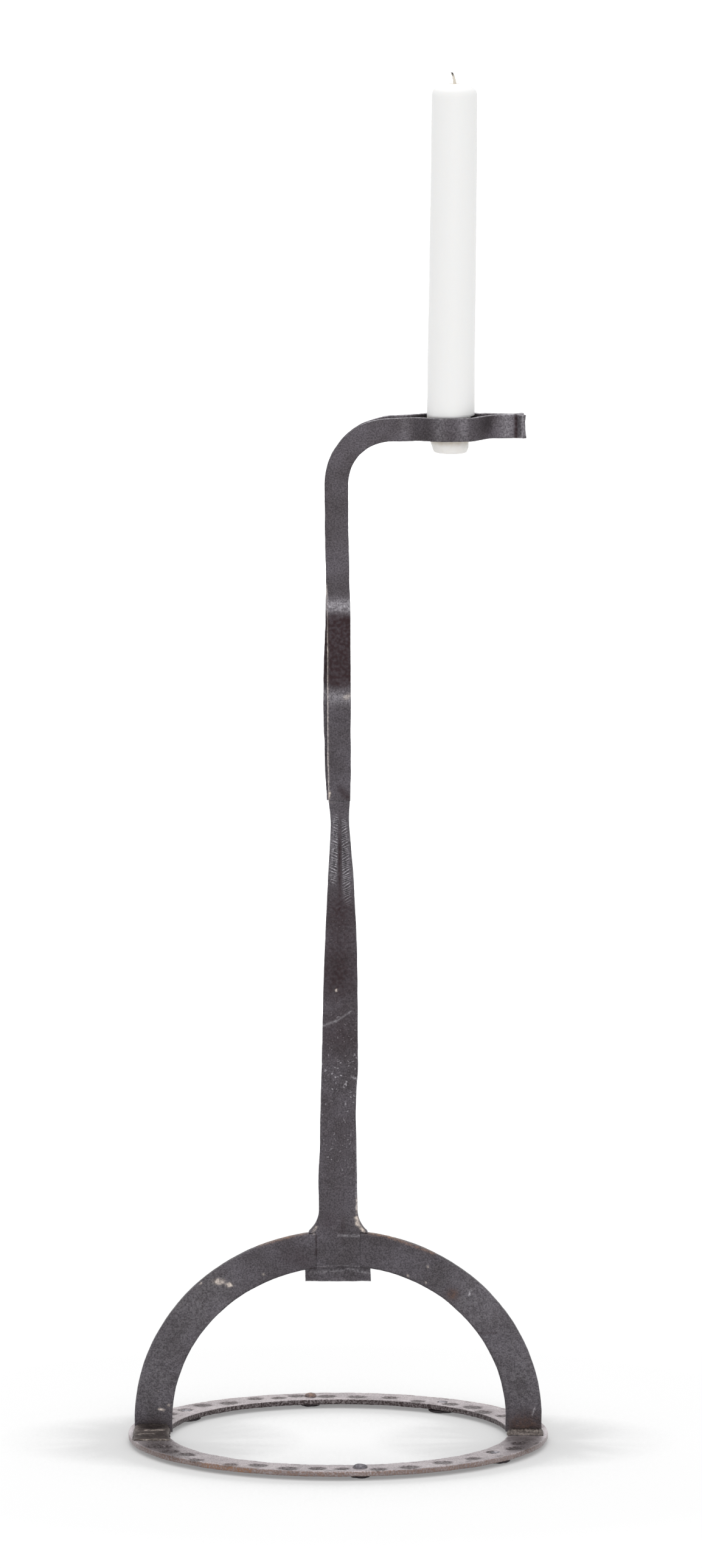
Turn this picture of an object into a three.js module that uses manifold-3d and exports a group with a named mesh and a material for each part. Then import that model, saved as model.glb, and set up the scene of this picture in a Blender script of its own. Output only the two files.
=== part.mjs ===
// Hand-forged iron candle holder. A flat ring lies on riveted feet, a half-round arch of flat bar
// stands across it, and a tapered stem rises from the crown of the arch. At its neck the bar
// divides into two spring strips that bend over to the side and grip one candle.
// Millimetres, +Z up. The origin is on the floor at the middle of the ring; the clasp is at +X.

import * as THREE from "three";
import { mergeVertices } from "three/addons/utils/BufferGeometryUtils.js";
import Module from "manifold-3d";

// Gap that touching pieces keep between them.
const GAP = 0.3;

// Base ring and the rivets that are its feet. The band is spread wider where the arch stands on it.
const RING_OUTER_R = 105;
const RING_INNER_R = 87.5;
const RING_SPREAD = 2.5;
const RING_THICK = 3;
const RING_EDGE = 0.5;
const PAD_THICK = 1.5;
const RING_BOTTOM = PAD_THICK + GAP;
const RING_TOP = RING_BOTTOM + RING_THICK;
const FOOT_CIRCLE_R = 95.5;
const SHANK_R = 2.4;
const DOMED_FEET = [
  { name: "foot_stud_front", angle: -83.4 },
  { name: "foot_stud_back", angle: 98.5 },
];
const FLUSH_FEET = [
  { name: "foot_stud_back_left", angle: 143.3 },
  { name: "foot_stud_back_right", angle: 56.5 },
  { name: "foot_stud_front_right", angle: -34.8 },
];
const DOMED_PAD_R = 5;
const DOME_R = 3.8;
const DOME_RISE = 1.8;
const FLUSH_PAD_R = 7.3;

// Arch of flat bar across the ring: short straight legs, then a half ellipse along its middle line.
const ARCH_FOOT_WIDTH = 18.2;
const ARCH_CROWN_WIDTH = 17.3;
const ARCH_THICK = 5;
const ARCH_EDGE = 1.3;
const ARCH_FOOT = RING_TOP + GAP;
const ARCH_SPRING_Z = 11.4;
const ARCH_HALF_SPAN = 92.8;
const ARCH_RISE = 86.7;

// Weld fillets in front of the arch's feet, as sections in Y and in rise above the arch's foot.
const LEFT_WELD = {
  from: -101.6,
  to: -84.6,
  section: [[-2.8, 0], [-2.8, 4.2], [-7, 2.4], [-14, 1.2], [-24.5, 0.6], [-24.5, 0]],
};
const RIGHT_WELD = {
  from: 85.2,
  to: 102,
  section: [[-2.8, 0], [-2.8, 1.8], [-6.6, 1.8], [-9.6, 1.1], [-10.6, 0]],
};

// Crown joint: a tongue of the stem lies in the arch's face, a plate backs it, two rivets hold it.
const TONGUE_HALF_W = 9;
const TONGUE_THICK = 2.2;
const TONGUE_BOTTOM = 91.3;
const PLATE_HALF_W = 16;
const PLATE_THICK = 3;
const PLATE_LOW = 80.5;
const PLATE_HIGH = 103.5;
const CROWN_RIVET_X = 4.5;
const CROWN_RIVET_Z = 98.9;
const CROWN_RIVET_R = 2;
const CROWN_HEAD_R = 3.6;
const CROWN_HEAD_RISE = 1.8;

// Stem: height, half width, sideways drift and half thickness of the bar along its length.
const FLARE_R = 14.7;
const FLARE_TOP = 117.5;
const FLARE_HALF_W = 14.8;
const FLARE_DROPS = [13.5, 11.5, 10.4, 9, 7.2, 5, 2.5];
const STEM_STATIONS = [
  { z: 117.5, half: 9.75, drift: 0, deep: 2.5 },
  { z: 132.4, half: 9.75, drift: -0.25, deep: 2.5 },
  { z: 150.9, half: 9.2, drift: 0, deep: 2.5 },
  { z: 163, half: 8.95, drift: -0.07, deep: 2.5 },
  { z: 175.5, half: 8.95, drift: 0.23, deep: 2.5 },
  { z: 187.8, half: 9.15, drift: 0.83, deep: 2.5 },
  { z: 212.4, half: 8.85, drift: 1.03, deep: 2.6 },
  { z: 237, half: 8.5, drift: 1.25, deep: 2.7 },
  { z: 249.3, half: 8.1, drift: 1.39, deep: 2.8 },
  { z: 267.7, half: 7.4, drift: 1.41, deep: 2.9 },
  { z: 280, half: 6.77, drift: 1.44, deep: 2.9 },
  { z: 292.2, half: 6.04, drift: 1.26, deep: 3 },
  { z: 304.5, half: 5.15, drift: 1.08, deep: 3.1 },
  { z: 315.2, half: 4.55, drift: 0.84, deep: 3.2 },
  { z: 323.7, half: 5.35, drift: 0.55, deep: 3.2 },
];
const STEM_EDGE = 1;

// Spring strips: a straight rise with a shallow bow, a quarter bend, and an arm with an eye.
const STRIP_ROOT = { x: 0.5, z: 324 };
const STRIP_HALF_WIDTHS = [[3, 5.45], [11, 5.8], [20, 5.9]];
const STRIP_THICK = 3;
const STRIP_EDGE = 0.6;
const STRIP_HEADING = THREE.MathUtils.degToRad(90.49);
const ARM_HEADING = THREE.MathUtils.degToRad(1.2);
const STRIP_RISE = 158.3;
const BEND_R = 28;
const BOW = 4.5;
const BOW_START = 6;
const BOW_PEAK = 52.7;
const BOW_END = 97.9;
const KINK_SOFTNESS = 4;
const TIP_FLARE_X = 88;
const TIP_OPENING = 3;

// Each strip on its own: its side, the end of its middle line, where its half of the eye rises
// and falls, and how far it strays to the side of the straight rise, by the distance from the root.
// The rear strip's arm also starts a little higher and ends a little lower than the front one's.
const FRONT_STRIP = {
  side: -1,
  tipX: 92.4,
  eye: { gap: 10.8, rise: [35.5, 53], fall: [64, 78] },
  strays: [[3, 0.19], [23, 0.23], [51, 0.44], [76, 0.54], [90, 0.63], [108, 0.31], [139, -0.11], [157, 0]],
  lifts: [[0, 0]],
};
const REAR_STRIP = {
  side: 1,
  tipX: 91.6,
  eye: { gap: 10.5, rise: [36, 53], fall: [59, 71] },
  strays: [[0, -0.7], [29, -1.35], [46, -1.65], [63, -1.5], [81, -0.57], [99, 0.02], [108, 0.31], [157, 0]],
  lifts: [[0, 0], [26, 0.45], [92, -0.95]],
};

// Candle and wick, in their own frame: its origin is on the candle's axis inside the clasp.
const CLASP = new THREE.Vector3(55.8, 0, 510.5);
const CANDLE_LEAN = THREE.MathUtils.degToRad(0.65);
const BORE_R = 1.1;
const WICK_R = 0.8;
const WICK_BEND = 1.6;
const CANDLE_PROFILE = [
  [BORE_R, -12],
  [7.6, -12],
  [8.7, -11.1],
  [9.4, -6],
  [9.9, 7.3],
  [11.5, 7.3],
  [11.9, 8.1],
  [11.4, 166],
  [10.9, 168.3],
  [7.1, 171.4],
  [BORE_R, 171.8],
];
const WICK_HEIGHTS = [-11.7, 60, 120, 171, 173, 174.6, 176, 177.2];

const wasm = await Module();
wasm.setup();

const iron = new THREE.MeshStandardMaterial({ color: "#565254", roughness: 0.55, metalness: 0.9 });
const wornIron = new THREE.MeshStandardMaterial({ color: "#948e8e", roughness: 0.5, metalness: 0.9 });
const weldMetal = new THREE.MeshStandardMaterial({ color: "#77716a", roughness: 0.6, metalness: 0.9 });
const wax = new THREE.MeshStandardMaterial({ color: "#f2f2f0", roughness: 0.45, metalness: 0 });
const cotton = new THREE.MeshStandardMaterial({ color: "#d8cfc0", roughness: 0.9, metalness: 0 });

// ---- Solids ---------------------------------------------------------------------------------

// A closed three.js geometry as a solid that can be joined and cut.
function solid(geometry) {
  geometry.deleteAttribute("normal");
  geometry.deleteAttribute("uv");
  const merged = mergeVertices(geometry, 1e-4);
  const corners = merged.index.array;
  const triVerts = [];
  for (let i = 0; i < corners.length; i += 3) {
    const [a, b, c] = corners.slice(i, i + 3);
    if (a !== b && b !== c && c !== a) triVerts.push(a, b, c);
  }
  const vertProperties = merged.attributes.position.array;
  return new wasm.Manifold(
    new wasm.Mesh({ numProp: 3, vertProperties, triVerts: Uint32Array.from(triVerts) }),
  );
}

// A named mesh from a solid.
function piece(name, body, material) {
  const { vertProperties, triVerts } = body.getMesh();
  const geometry = new THREE.BufferGeometry();
  geometry.setAttribute("position", new THREE.BufferAttribute(vertProperties, 3));
  geometry.setIndex(new THREE.BufferAttribute(triVerts, 1));
  geometry.computeVertexNormals();
  const mesh = new THREE.Mesh(geometry, material);
  mesh.name = name;
  return mesh;
}

// A body of revolution about Z; the profile holds [radius, height] pairs.
function turned(profile, segments) {
  const points = profile.map(([radius, height]) => new THREE.Vector2(radius, height));
  return new THREE.LatheGeometry(points, segments).rotateX(Math.PI / 2);
}

// A body through rings of points that all turn counter-clockwise about its direction. It is
// capped at both ends, or where it is endless its last ring joins its first one.
function loft(rings, endless = false) {
  const count = rings[0].length;
  const total = rings.length * count;
  const last = total - count;
  const index = [];
  for (let base = 0; base < (endless ? total : last); base += count) {
    const next = (base + count) % total;
    for (let i = 0; i < count; i += 1) {
      const j = (i + 1) % count;
      index.push(base + i, base + j, next + j, base + i, next + j, next + i);
    }
  }
  for (let i = 1; i + 1 < count && !endless; i += 1) {
    index.push(0, i + 1, i, last, last + i, last + i + 1);
  }
  const geometry = new THREE.BufferGeometry().setFromPoints(rings.flat());
  return geometry.setIndex(index);
}

// Section of a flat bar with its corners taken off, as [across, through] pairs.
function barSection(halfWidth, halfThick, edge) {
  const corner = [[halfWidth, halfThick - edge], [halfWidth - edge, halfThick]];
  const mirrored = corner.map(([across, through]) => [-across, through]).reverse();
  const top = [...corner, ...mirrored];
  return [...top, ...top.map(([across, through]) => [-across, -through])];
}

// Section points placed round a centre, with "across" and "through" as directions.
function placedSection(section, centre, across, through) {
  return section.map(([u, v]) => centre.clone().addScaledVector(across, u).addScaledVector(through, v));
}

// Evenly spaced numbers from one value up to, but not including, another.
function steps(from, to, count) {
  return Array.from({ length: count }, (_, i) => from + ((to - from) * i) / count);
}

function box(low, high) {
  const size = new THREE.Vector3(...high).sub(new THREE.Vector3(...low));
  const middle = new THREE.Vector3(...low).addScaledVector(size, 0.5);
  return solid(new THREE.BoxGeometry(size.x, size.y, size.z).translate(middle.x, middle.y, middle.z));
}

// A plain round bar along Z.
function roundBar(radius, low, high, segments) {
  return turned([[0, low], [radius, low], [radius, high], [0, high]], segments);
}

// ---- Base ring and feet ---------------------------------------------------------------------

function footPlace(angle) {
  const turn = THREE.MathUtils.degToRad(angle);
  return [FOOT_CIRCLE_R * Math.cos(turn), FOOT_CIRCLE_R * Math.sin(turn), 0];
}

function baseRing() {
  const up = new THREE.Vector3(0, 0, 1);
  const rings = steps(2 * Math.PI, 0, 80).map((turn) => {
    const outward = new THREE.Vector3(Math.cos(turn), Math.sin(turn), 0);
    const innerR = RING_INNER_R - RING_SPREAD * outward.x ** 4;
    const centre = outward.clone().multiplyScalar((RING_OUTER_R + innerR) / 2);
    centre.z = RING_BOTTOM + RING_THICK / 2;
    const section = barSection((RING_OUTER_R - innerR) / 2, RING_THICK / 2, RING_EDGE);
    return placedSection(section, centre, outward, up);
  });
  let ring = solid(loft(rings, true));
  for (const { angle } of [...DOMED_FEET, ...FLUSH_FEET]) {
    const hole = roundBar(SHANK_R + GAP, 0, RING_TOP + 1, 16).translate(...footPlace(angle));
    ring = ring.subtract(solid(hole));
  }
  return piece("base_ring", ring, wornIron);
}

// A rivet whose pad stands on the floor; its shank runs through the ring.
function footProfile(padR, headProfile) {
  const pad = [[0, 0], [padR - 0.5, 0], [padR, 0.5], [padR - 0.3, PAD_THICK], [SHANK_R, PAD_THICK]];
  return [...pad, ...headProfile];
}

function domedHead() {
  const seat = RING_TOP + GAP;
  return [
    [SHANK_R, seat],
    [DOME_R, seat],
    [DOME_R * 0.85, seat + DOME_RISE * 0.55],
    [DOME_R * 0.5, seat + DOME_RISE * 0.9],
    [0, seat + DOME_RISE],
  ];
}

function feet() {
  const flushHead = [[SHANK_R, RING_TOP], [0, RING_TOP]];
  const domed = DOMED_FEET.map((foot) => ({ ...foot, profile: footProfile(DOMED_PAD_R, domedHead()) }));
  const flush = FLUSH_FEET.map((foot) => ({ ...foot, profile: footProfile(FLUSH_PAD_R, flushHead) }));
  return [...domed, ...flush].map(({ name, angle, profile }) => {
    const geometry = turned(profile, 20).translate(...footPlace(angle));
    return piece(name, solid(geometry), iron);
  });
}

// ---- Arch, its welds and the crown joint ----------------------------------------------------

// The arch's bar, from its right foot over the crown to its left foot; it is a little narrower at
// the crown. A margin makes it wider all round, for cutting a neighbour to fit it.
function archBar(margin, thick) {
  const through = new THREE.Vector3(0, 1, 0);
  const section = (turn) => {
    const width = THREE.MathUtils.lerp(ARCH_FOOT_WIDTH, ARCH_CROWN_WIDTH, Math.sin(turn) ** 2);
    return barSection(width / 2 + margin, thick / 2, ARCH_EDGE);
  };
  const foot = (side) => placedSection(
    section(0),
    new THREE.Vector3(side * ARCH_HALF_SPAN, 0, ARCH_FOOT - margin),
    new THREE.Vector3(side, 0, 0),
    through,
  );
  const over = [...steps(0, Math.PI, 44), Math.PI].map((turn) => {
    const centre = new THREE.Vector3(ARCH_HALF_SPAN * Math.cos(turn), 0, ARCH_RISE * Math.sin(turn));
    const outward = new THREE.Vector3(ARCH_RISE * Math.cos(turn), 0, ARCH_HALF_SPAN * Math.sin(turn));
    centre.z += ARCH_SPRING_Z;
    return placedSection(section(turn), centre, outward.normalize(), through);
  });
  return solid(loft([foot(1), ...over, foot(-1)]));
}

function crownHoles() {
  const holes = [-CROWN_RIVET_X, CROWN_RIVET_X].map((x) => {
    const bar = roundBar(CROWN_RIVET_R + GAP, -4, 8, 16).rotateX(-Math.PI / 2);
    return solid(bar.translate(x, 0, CROWN_RIVET_Z));
  });
  return holes[0].add(holes[1]);
}

function arch() {
  const reach = TONGUE_HALF_W + GAP;
  const recess = box([-reach, -ARCH_THICK, TONGUE_BOTTOM - GAP], [reach, 0, FLARE_TOP]);
  return piece("arch", archBar(0, ARCH_THICK).subtract(recess).subtract(crownHoles()), iron);
}

function footWeld(name, { from, to, section }) {
  const inset = 0.8;
  const rings = [from, from + inset, to - inset, to].map((x, i) => {
    const shrink = i === 0 || i === 3 ? 0.8 : 1;
    return section.map(([y, rise]) => new THREE.Vector3(x, y, ARCH_FOOT + rise * shrink));
  });
  return piece(name, solid(loft(rings)), weldMetal);
}

function backPlate() {
  const nearFace = ARCH_THICK / 2 + GAP;
  const section = barSection(PLATE_HALF_W, PLATE_THICK / 2, 0.5);
  const narrow = barSection(PLATE_HALF_W - 0.5, PLATE_THICK / 2 - 0.5, 0.5);
  const heights = [PLATE_LOW, PLATE_LOW + 0.5, PLATE_HIGH - 0.5, PLATE_HIGH];
  const across = new THREE.Vector3(1, 0, 0);
  const through = new THREE.Vector3(0, 1, 0);
  const rings = heights.map((z, i) => {
    const centre = new THREE.Vector3(0, nearFace + PLATE_THICK / 2, z);
    return placedSection(i === 0 || i === 3 ? narrow : section, centre, across, through);
  });
  return piece("back_plate", solid(loft(rings)).subtract(crownHoles()), iron);
}

// Rivet through tongue, arch and plate: flush in front, domed behind the plate.
function crownRivet(name, x) {
  const front = -ARCH_THICK / 2;
  const seat = ARCH_THICK / 2 + GAP + PLATE_THICK + GAP;
  const profile = [
    [0, front],
    [CROWN_RIVET_R, front],
    [CROWN_RIVET_R, seat],
    [CROWN_HEAD_R, seat],
    [CROWN_HEAD_R * 0.85, seat + CROWN_HEAD_RISE * 0.55],
    [CROWN_HEAD_R * 0.5, seat + CROWN_HEAD_RISE * 0.9],
    [0, seat + CROWN_HEAD_RISE],
  ];
  const geometry = turned(profile, 16).rotateX(-Math.PI / 2).translate(x, 0, CROWN_RIVET_Z);
  return piece(name, solid(geometry), iron);
}

// ---- Stem -----------------------------------------------------------------------------------

// Stations of the shoulder that spreads onto the arch.
function flareStations() {
  const [bar] = STEM_STATIONS;
  return FLARE_DROPS.map((drop) => {
    const z = FLARE_TOP - drop;
    const below = Math.min(drop, FLARE_R);
    const spread = FLARE_R - Math.sqrt(FLARE_R ** 2 - below ** 2);
    return { ...bar, z, half: Math.min(bar.half + spread, FLARE_HALF_W) };
  });
}

function stem() {
  const across = new THREE.Vector3(1, 0, 0);
  const through = new THREE.Vector3(0, 1, 0);
  const rings = [...flareStations(), ...STEM_STATIONS].map(({ z, half, drift, deep }) => {
    const centre = new THREE.Vector3(drift, 0, z);
    return placedSection(barSection(half, deep, STEM_EDGE), centre, across, through);
  });
  const bar = solid(loft(rings)).subtract(archBar(GAP, 4 * ARCH_THICK));
  const front = -ARCH_THICK / 2;
  const tongue = box(
    [-TONGUE_HALF_W, front, TONGUE_BOTTOM],
    [TONGUE_HALF_W, front + TONGUE_THICK, FLARE_TOP - 4],
  );
  return piece("stem", bar.add(tongue).subtract(crownHoles()), iron);
}

// ---- Spring strips --------------------------------------------------------------------------

// Middle line of a strip seen from the front, at a distance along it from the root.
function stripPath(along) {
  const turn = STRIP_HEADING - ARM_HEADING;
  const bendLength = BEND_R * turn;
  const rise = Math.min(along, STRIP_RISE);
  const heading = STRIP_HEADING - Math.min(Math.max(along - STRIP_RISE, 0), bendLength) / BEND_R;
  const arm = Math.max(along - STRIP_RISE - bendLength, 0);
  const bendX = BEND_R * (Math.sin(STRIP_HEADING) - Math.sin(heading));
  const bendZ = BEND_R * (Math.cos(heading) - Math.cos(STRIP_HEADING));
  return {
    x: STRIP_ROOT.x + rise * Math.cos(STRIP_HEADING) + bendX + arm * Math.cos(ARM_HEADING),
    z: STRIP_ROOT.z + rise * Math.sin(STRIP_HEADING) + bendZ + arm * Math.sin(ARM_HEADING),
    heading,
  };
}

// Zero before a corner and a straight rise after it, with the corner rounded.
function softRamp(value) {
  if (value < -KINK_SOFTNESS) return 0;
  if (value > KINK_SOFTNESS) return value;
  return (value + KINK_SOFTNESS) ** 2 / (4 * KINK_SOFTNESS);
}

// Shallow bow above the root: 0 at both ends and 1 at its peak.
function bowShape(along) {
  const up = 1 / (BOW_PEAK - BOW_START);
  const down = 1 / (BOW_END - BOW_PEAK);
  const rising = up * softRamp(along - BOW_START) - (up + down) * softRamp(along - BOW_PEAK);
  return rising + down * softRamp(along - BOW_END);
}

// The value at a position between stations, which hold [position, value] pairs in rising order.
function between(stations, position) {
  const next = stations.findIndex(([place]) => place > position);
  if (next === 0) return stations[0][1];
  if (next < 0) return stations.at(-1)[1];
  const [[low, atLow], [high, atHigh]] = stations.slice(next - 1, next + 1);
  return THREE.MathUtils.mapLinear(position, low, high, atLow, atHigh);
}

// How far a strip's inner face stands from the middle plane between the two strips.
function stripOpening(along, eye) {
  const { x } = stripPath(along);
  const rising = THREE.MathUtils.smoothstep(x, ...eye.rise);
  const falling = THREE.MathUtils.smoothstep(x, ...eye.fall);
  const tail = Math.max(x - TIP_FLARE_X, 0) / (FRONT_STRIP.tipX - TIP_FLARE_X);
  return GAP / 2 + BOW * bowShape(along) + eye.gap * (rising - falling) + TIP_OPENING * tail ** 1.5;
}

// Centre of a strip's section at a distance along it.
function stripCentre(along, { side, eye, strays, lifts }) {
  const { x, z } = stripPath(along);
  const y = side * (stripOpening(along, eye) + STRIP_THICK / 2);
  return new THREE.Vector3(x + between(strays, along), y, z + between(lifts, x));
}

function stripStations({ tipX, eye }) {
  const armStart = STRIP_RISE + BEND_R * (STRIP_HEADING - ARM_HEADING);
  const toX = (x) => armStart + (x - stripPath(armStart).x) / Math.cos(ARM_HEADING);
  const eyeStart = toX(eye.rise[0] - 1);
  const eyeEnd = toX(eye.fall[1] + 1);
  const end = toX(tipX);
  return [
    ...steps(0, BOW_END + KINK_SOFTNESS, 26),
    ...steps(BOW_END + KINK_SOFTNESS, STRIP_RISE, 3),
    ...steps(STRIP_RISE, armStart, 14),
    ...steps(armStart, eyeStart, 1),
    ...steps(eyeStart, eyeEnd, 28),
    ...steps(eyeEnd, end, 7),
    end,
  ];
}

function springArm(name, strip) {
  const small = 0.05;
  const rings = stripStations(strip).map((along) => {
    const { heading } = stripPath(along);
    const section = barSection(between(STRIP_HALF_WIDTHS, along), STRIP_THICK / 2, STRIP_EDGE);
    const across = new THREE.Vector3(Math.sin(heading), 0, -Math.cos(heading));
    const before = stripCentre(Math.max(along - small, 0), strip);
    const ahead = stripCentre(along + small, strip).sub(before);
    const through = ahead.normalize().cross(across).normalize();
    return placedSection(section, stripCentre(along, strip), across, through);
  });
  return piece(name, solid(loft(rings)), iron);
}

// ---- Candle ---------------------------------------------------------------------------------

function wick() {
  const bent = WICK_HEIGHTS.at(-1) - WICK_HEIGHTS[3];
  const rings = WICK_HEIGHTS.map((height) => {
    const above = Math.max(height - WICK_HEIGHTS[3], 0) / bent;
    const centre = new THREE.Vector3(-WICK_BEND * above ** 2, 0, height);
    return steps(0, 2 * Math.PI, 8).map((turn) => {
      const round = new THREE.Vector3(Math.cos(turn), Math.sin(turn), 0);
      return centre.clone().addScaledVector(round, WICK_R * (1 - 0.25 * above));
    });
  });
  return piece("wick", solid(loft(rings)), cotton);
}

function candleAndWick() {
  const profile = [...CANDLE_PROFILE, CANDLE_PROFILE[0]];
  const body = piece("candle", solid(turned(profile, 32)), wax);
  const held = new THREE.Group();
  held.add(body, wick());
  held.position.copy(CLASP);
  held.rotation.y = CANDLE_LEAN;
  return held;
}

const holder = new THREE.Group();
holder.add(
  baseRing(),
  ...feet(),
  arch(),
  footWeld("left_foot_weld", LEFT_WELD),
  footWeld("right_foot_weld", RIGHT_WELD),
  stem(),
  backPlate(),
  crownRivet("crown_rivet_left", -CROWN_RIVET_X),
  crownRivet("crown_rivet_right", CROWN_RIVET_X),
  springArm("front_spring_arm", FRONT_STRIP),
  springArm("rear_spring_arm", REAR_STRIP),
  candleAndWick(),
);

export default holder;
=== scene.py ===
# %% [markdown]
# # A forged iron candle holder with a spring clasp
#
# A smith made this holder from three sizes of flat bar. A ring lies on riveted feet, a half-round
# arch stands on the ring, and a tapered stem rises from the arch. At its neck the bar is split into
# two strips that bend over to one side and grip a candle between them.
#
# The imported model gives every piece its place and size. Here each piece is made again with the
# surface that a hammer, a fire and years of handling leave: dents, soft edges, scale and bare metal.

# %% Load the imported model
import math

import bpy
import numpy as np
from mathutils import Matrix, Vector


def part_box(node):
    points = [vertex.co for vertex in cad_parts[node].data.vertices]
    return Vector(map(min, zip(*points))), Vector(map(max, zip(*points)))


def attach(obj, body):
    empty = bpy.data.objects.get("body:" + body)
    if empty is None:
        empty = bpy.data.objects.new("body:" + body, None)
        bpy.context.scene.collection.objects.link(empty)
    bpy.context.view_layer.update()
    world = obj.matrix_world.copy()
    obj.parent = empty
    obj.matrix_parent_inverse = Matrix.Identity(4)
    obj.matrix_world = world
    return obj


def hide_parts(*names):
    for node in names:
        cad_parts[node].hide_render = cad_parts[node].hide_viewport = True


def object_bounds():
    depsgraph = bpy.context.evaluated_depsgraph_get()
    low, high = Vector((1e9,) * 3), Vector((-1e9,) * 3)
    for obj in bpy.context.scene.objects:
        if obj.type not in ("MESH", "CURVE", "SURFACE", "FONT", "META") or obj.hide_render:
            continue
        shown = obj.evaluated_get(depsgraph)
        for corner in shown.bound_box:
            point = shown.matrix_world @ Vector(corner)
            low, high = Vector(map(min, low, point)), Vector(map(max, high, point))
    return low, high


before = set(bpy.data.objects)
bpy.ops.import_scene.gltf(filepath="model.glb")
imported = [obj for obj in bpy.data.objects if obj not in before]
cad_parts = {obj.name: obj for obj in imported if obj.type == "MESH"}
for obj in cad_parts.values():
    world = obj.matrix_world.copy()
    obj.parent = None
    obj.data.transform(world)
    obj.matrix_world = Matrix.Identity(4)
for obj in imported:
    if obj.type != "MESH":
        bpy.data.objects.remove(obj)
cad_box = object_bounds()

# %% [markdown]
# ## Millimetres, meshes and lofts
#
# A smith thinks in millimetres, and Blender in metres. So all points are worked out in millimetres
# and turned to metres only where a mesh is made. Nearly every piece here is a bar: one section
# carried along a line. That is a loft, and one function makes them all, with its ends closed.

# %% Points and meshes
MM = 0.001
SHARP_ANGLE = math.radians(42)
EDGE_STEPS = 3


def cad(node):
    """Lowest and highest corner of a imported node, in millimetres."""
    low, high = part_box(node)
    return np.array(low) / MM, np.array(high) / MM


def raw_piece(name, points=(), faces=()):
    """An object from points in millimetres, as they are."""
    mesh = bpy.data.meshes.new(name)
    mesh.from_pydata((np.asarray(points) * MM).tolist(), [], faces)
    piece = bpy.data.objects.new(name, mesh)
    bpy.context.scene.collection.objects.link(piece)
    return piece


def mesh_piece(name, points, faces):
    """A smooth-shaded object from points in millimetres, with points that coincide merged."""
    piece = raw_piece(name, points, faces)
    weld = piece.modifiers.new("weld", "WELD")
    weld.merge_threshold = 1e-4 * MM
    return plain(piece)


def plain(piece):
    """Turns what an object's modifiers make into its own plain mesh."""
    bpy.context.view_layer.update()
    depsgraph = bpy.context.evaluated_depsgraph_get()
    shown = piece.evaluated_get(depsgraph)
    made = bpy.data.meshes.new_from_object(shown, preserve_all_data_layers=True, depsgraph=depsgraph)
    piece.modifiers.clear()
    old = piece.data
    piece.data = made
    bpy.data.meshes.remove(old)
    made.name = piece.name
    made.shade_smooth()
    made.set_sharp_from_angle(angle=SHARP_ANGLE)
    return piece


def skin_over(name, rings):
    """A piece whose faces join each ring of points to the next."""
    count, around = rings.shape[:2]
    faces = []
    for this in range(0, (count - 1) * around, around):
        after = this + around
        for j in range(around):
            k = (j + 1) % around
            faces.append((this + j, this + k, after + k, after + j))
    return mesh_piece(name, rings.reshape(-1, 3), faces)


def loft(name, rings):
    """A skin over rings of points, with its ends closed by rings that shrink to a point."""
    rings = np.asarray(rings, float)
    shrink = np.array([0, 0.3, 0.6, 0.85])[:, None, None]
    first, last = rings[0], rings[-1]
    start = first.mean(0) + (first - first.mean(0)) * shrink
    end = last.mean(0) + (last - last.mean(0)) * shrink[::-1]
    return skin_over(name, np.concatenate([start, rings, end]))


def bar_section(half_width, half_thick, edge, across_steps, through_steps):
    """Points round a flat bar with soft edges, counter-clockwise, as (across, through) pairs."""
    points = []
    quarter = np.linspace(0, math.pi / 2, EDGE_STEPS + 1)
    corners = [(1, 1), (-1, 1), (-1, -1), (1, -1)]
    arcs = []
    for turn, (side, face) in enumerate(corners):
        angles = quarter + turn * math.pi / 2
        centre = (side * (half_width - edge), face * (half_thick - edge))
        arcs.append(centre + edge * np.stack([np.cos(angles), np.sin(angles)], 1))
    for arc, after, steps in zip(arcs, arcs[1:] + arcs[:1], (across_steps, through_steps) * 2):
        share = np.linspace(0, 1, steps + 1)[1:-1, None]
        points += [arc, arc[-1] * (1 - share) + after[0] * share]
    return np.concatenate(points)


def placed(section, centre, across, through):
    """A section's points round a centre, with its two directions given."""
    return np.asarray(centre) + section[:, :1] * np.asarray(across) + section[:, 1:] * np.asarray(through)


def blended(value, stations, window=0):
    """Values between stations, rounded over a window so that no station shows as a kink."""
    knots, heights = zip(*stations)
    if not window:
        return np.interp(value, knots, heights)
    spread = np.linspace(-window / 2, window / 2, 15)
    return np.mean([np.interp(value + step, knots, heights) for step in spread], 0)


print("a bar's section has", len(bar_section(9, 2.5, 1, 20, 6)), "points")

# %% [markdown]
# ## Nodes by one small function
#
# Materials and Geometry Nodes are both trees of nodes. One function adds a node, gives it its
# settings and links its inputs. An input can be a number, a socket, or a node whose first live
# output is meant. With it, a tree reads from the raw pattern down to the finished surface.


# %% Add a node, start a tree, run a tree
def add(tree, kind, inputs=None, **settings):
    """A node with its settings. Inputs are named, or numbered among the node's live sockets."""
    node = tree.nodes.new(kind)
    for name, value in settings.items():
        setattr(node, name, value)
    live = [socket for socket in node.inputs if socket.enabled]
    for key, value in (inputs or {}).items():
        socket = live[key] if isinstance(key, int) else next(s for s in live if s.name == key)
        if isinstance(value, bpy.types.Node):
            value = next(output for output in value.outputs if output.enabled)
        if isinstance(value, bpy.types.NodeSocket):
            tree.links.new(value, socket)
        else:
            socket.default_value = value
    return node


SOCKETS = {float: "NodeSocketFloat", int: "NodeSocketInt"}


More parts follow.
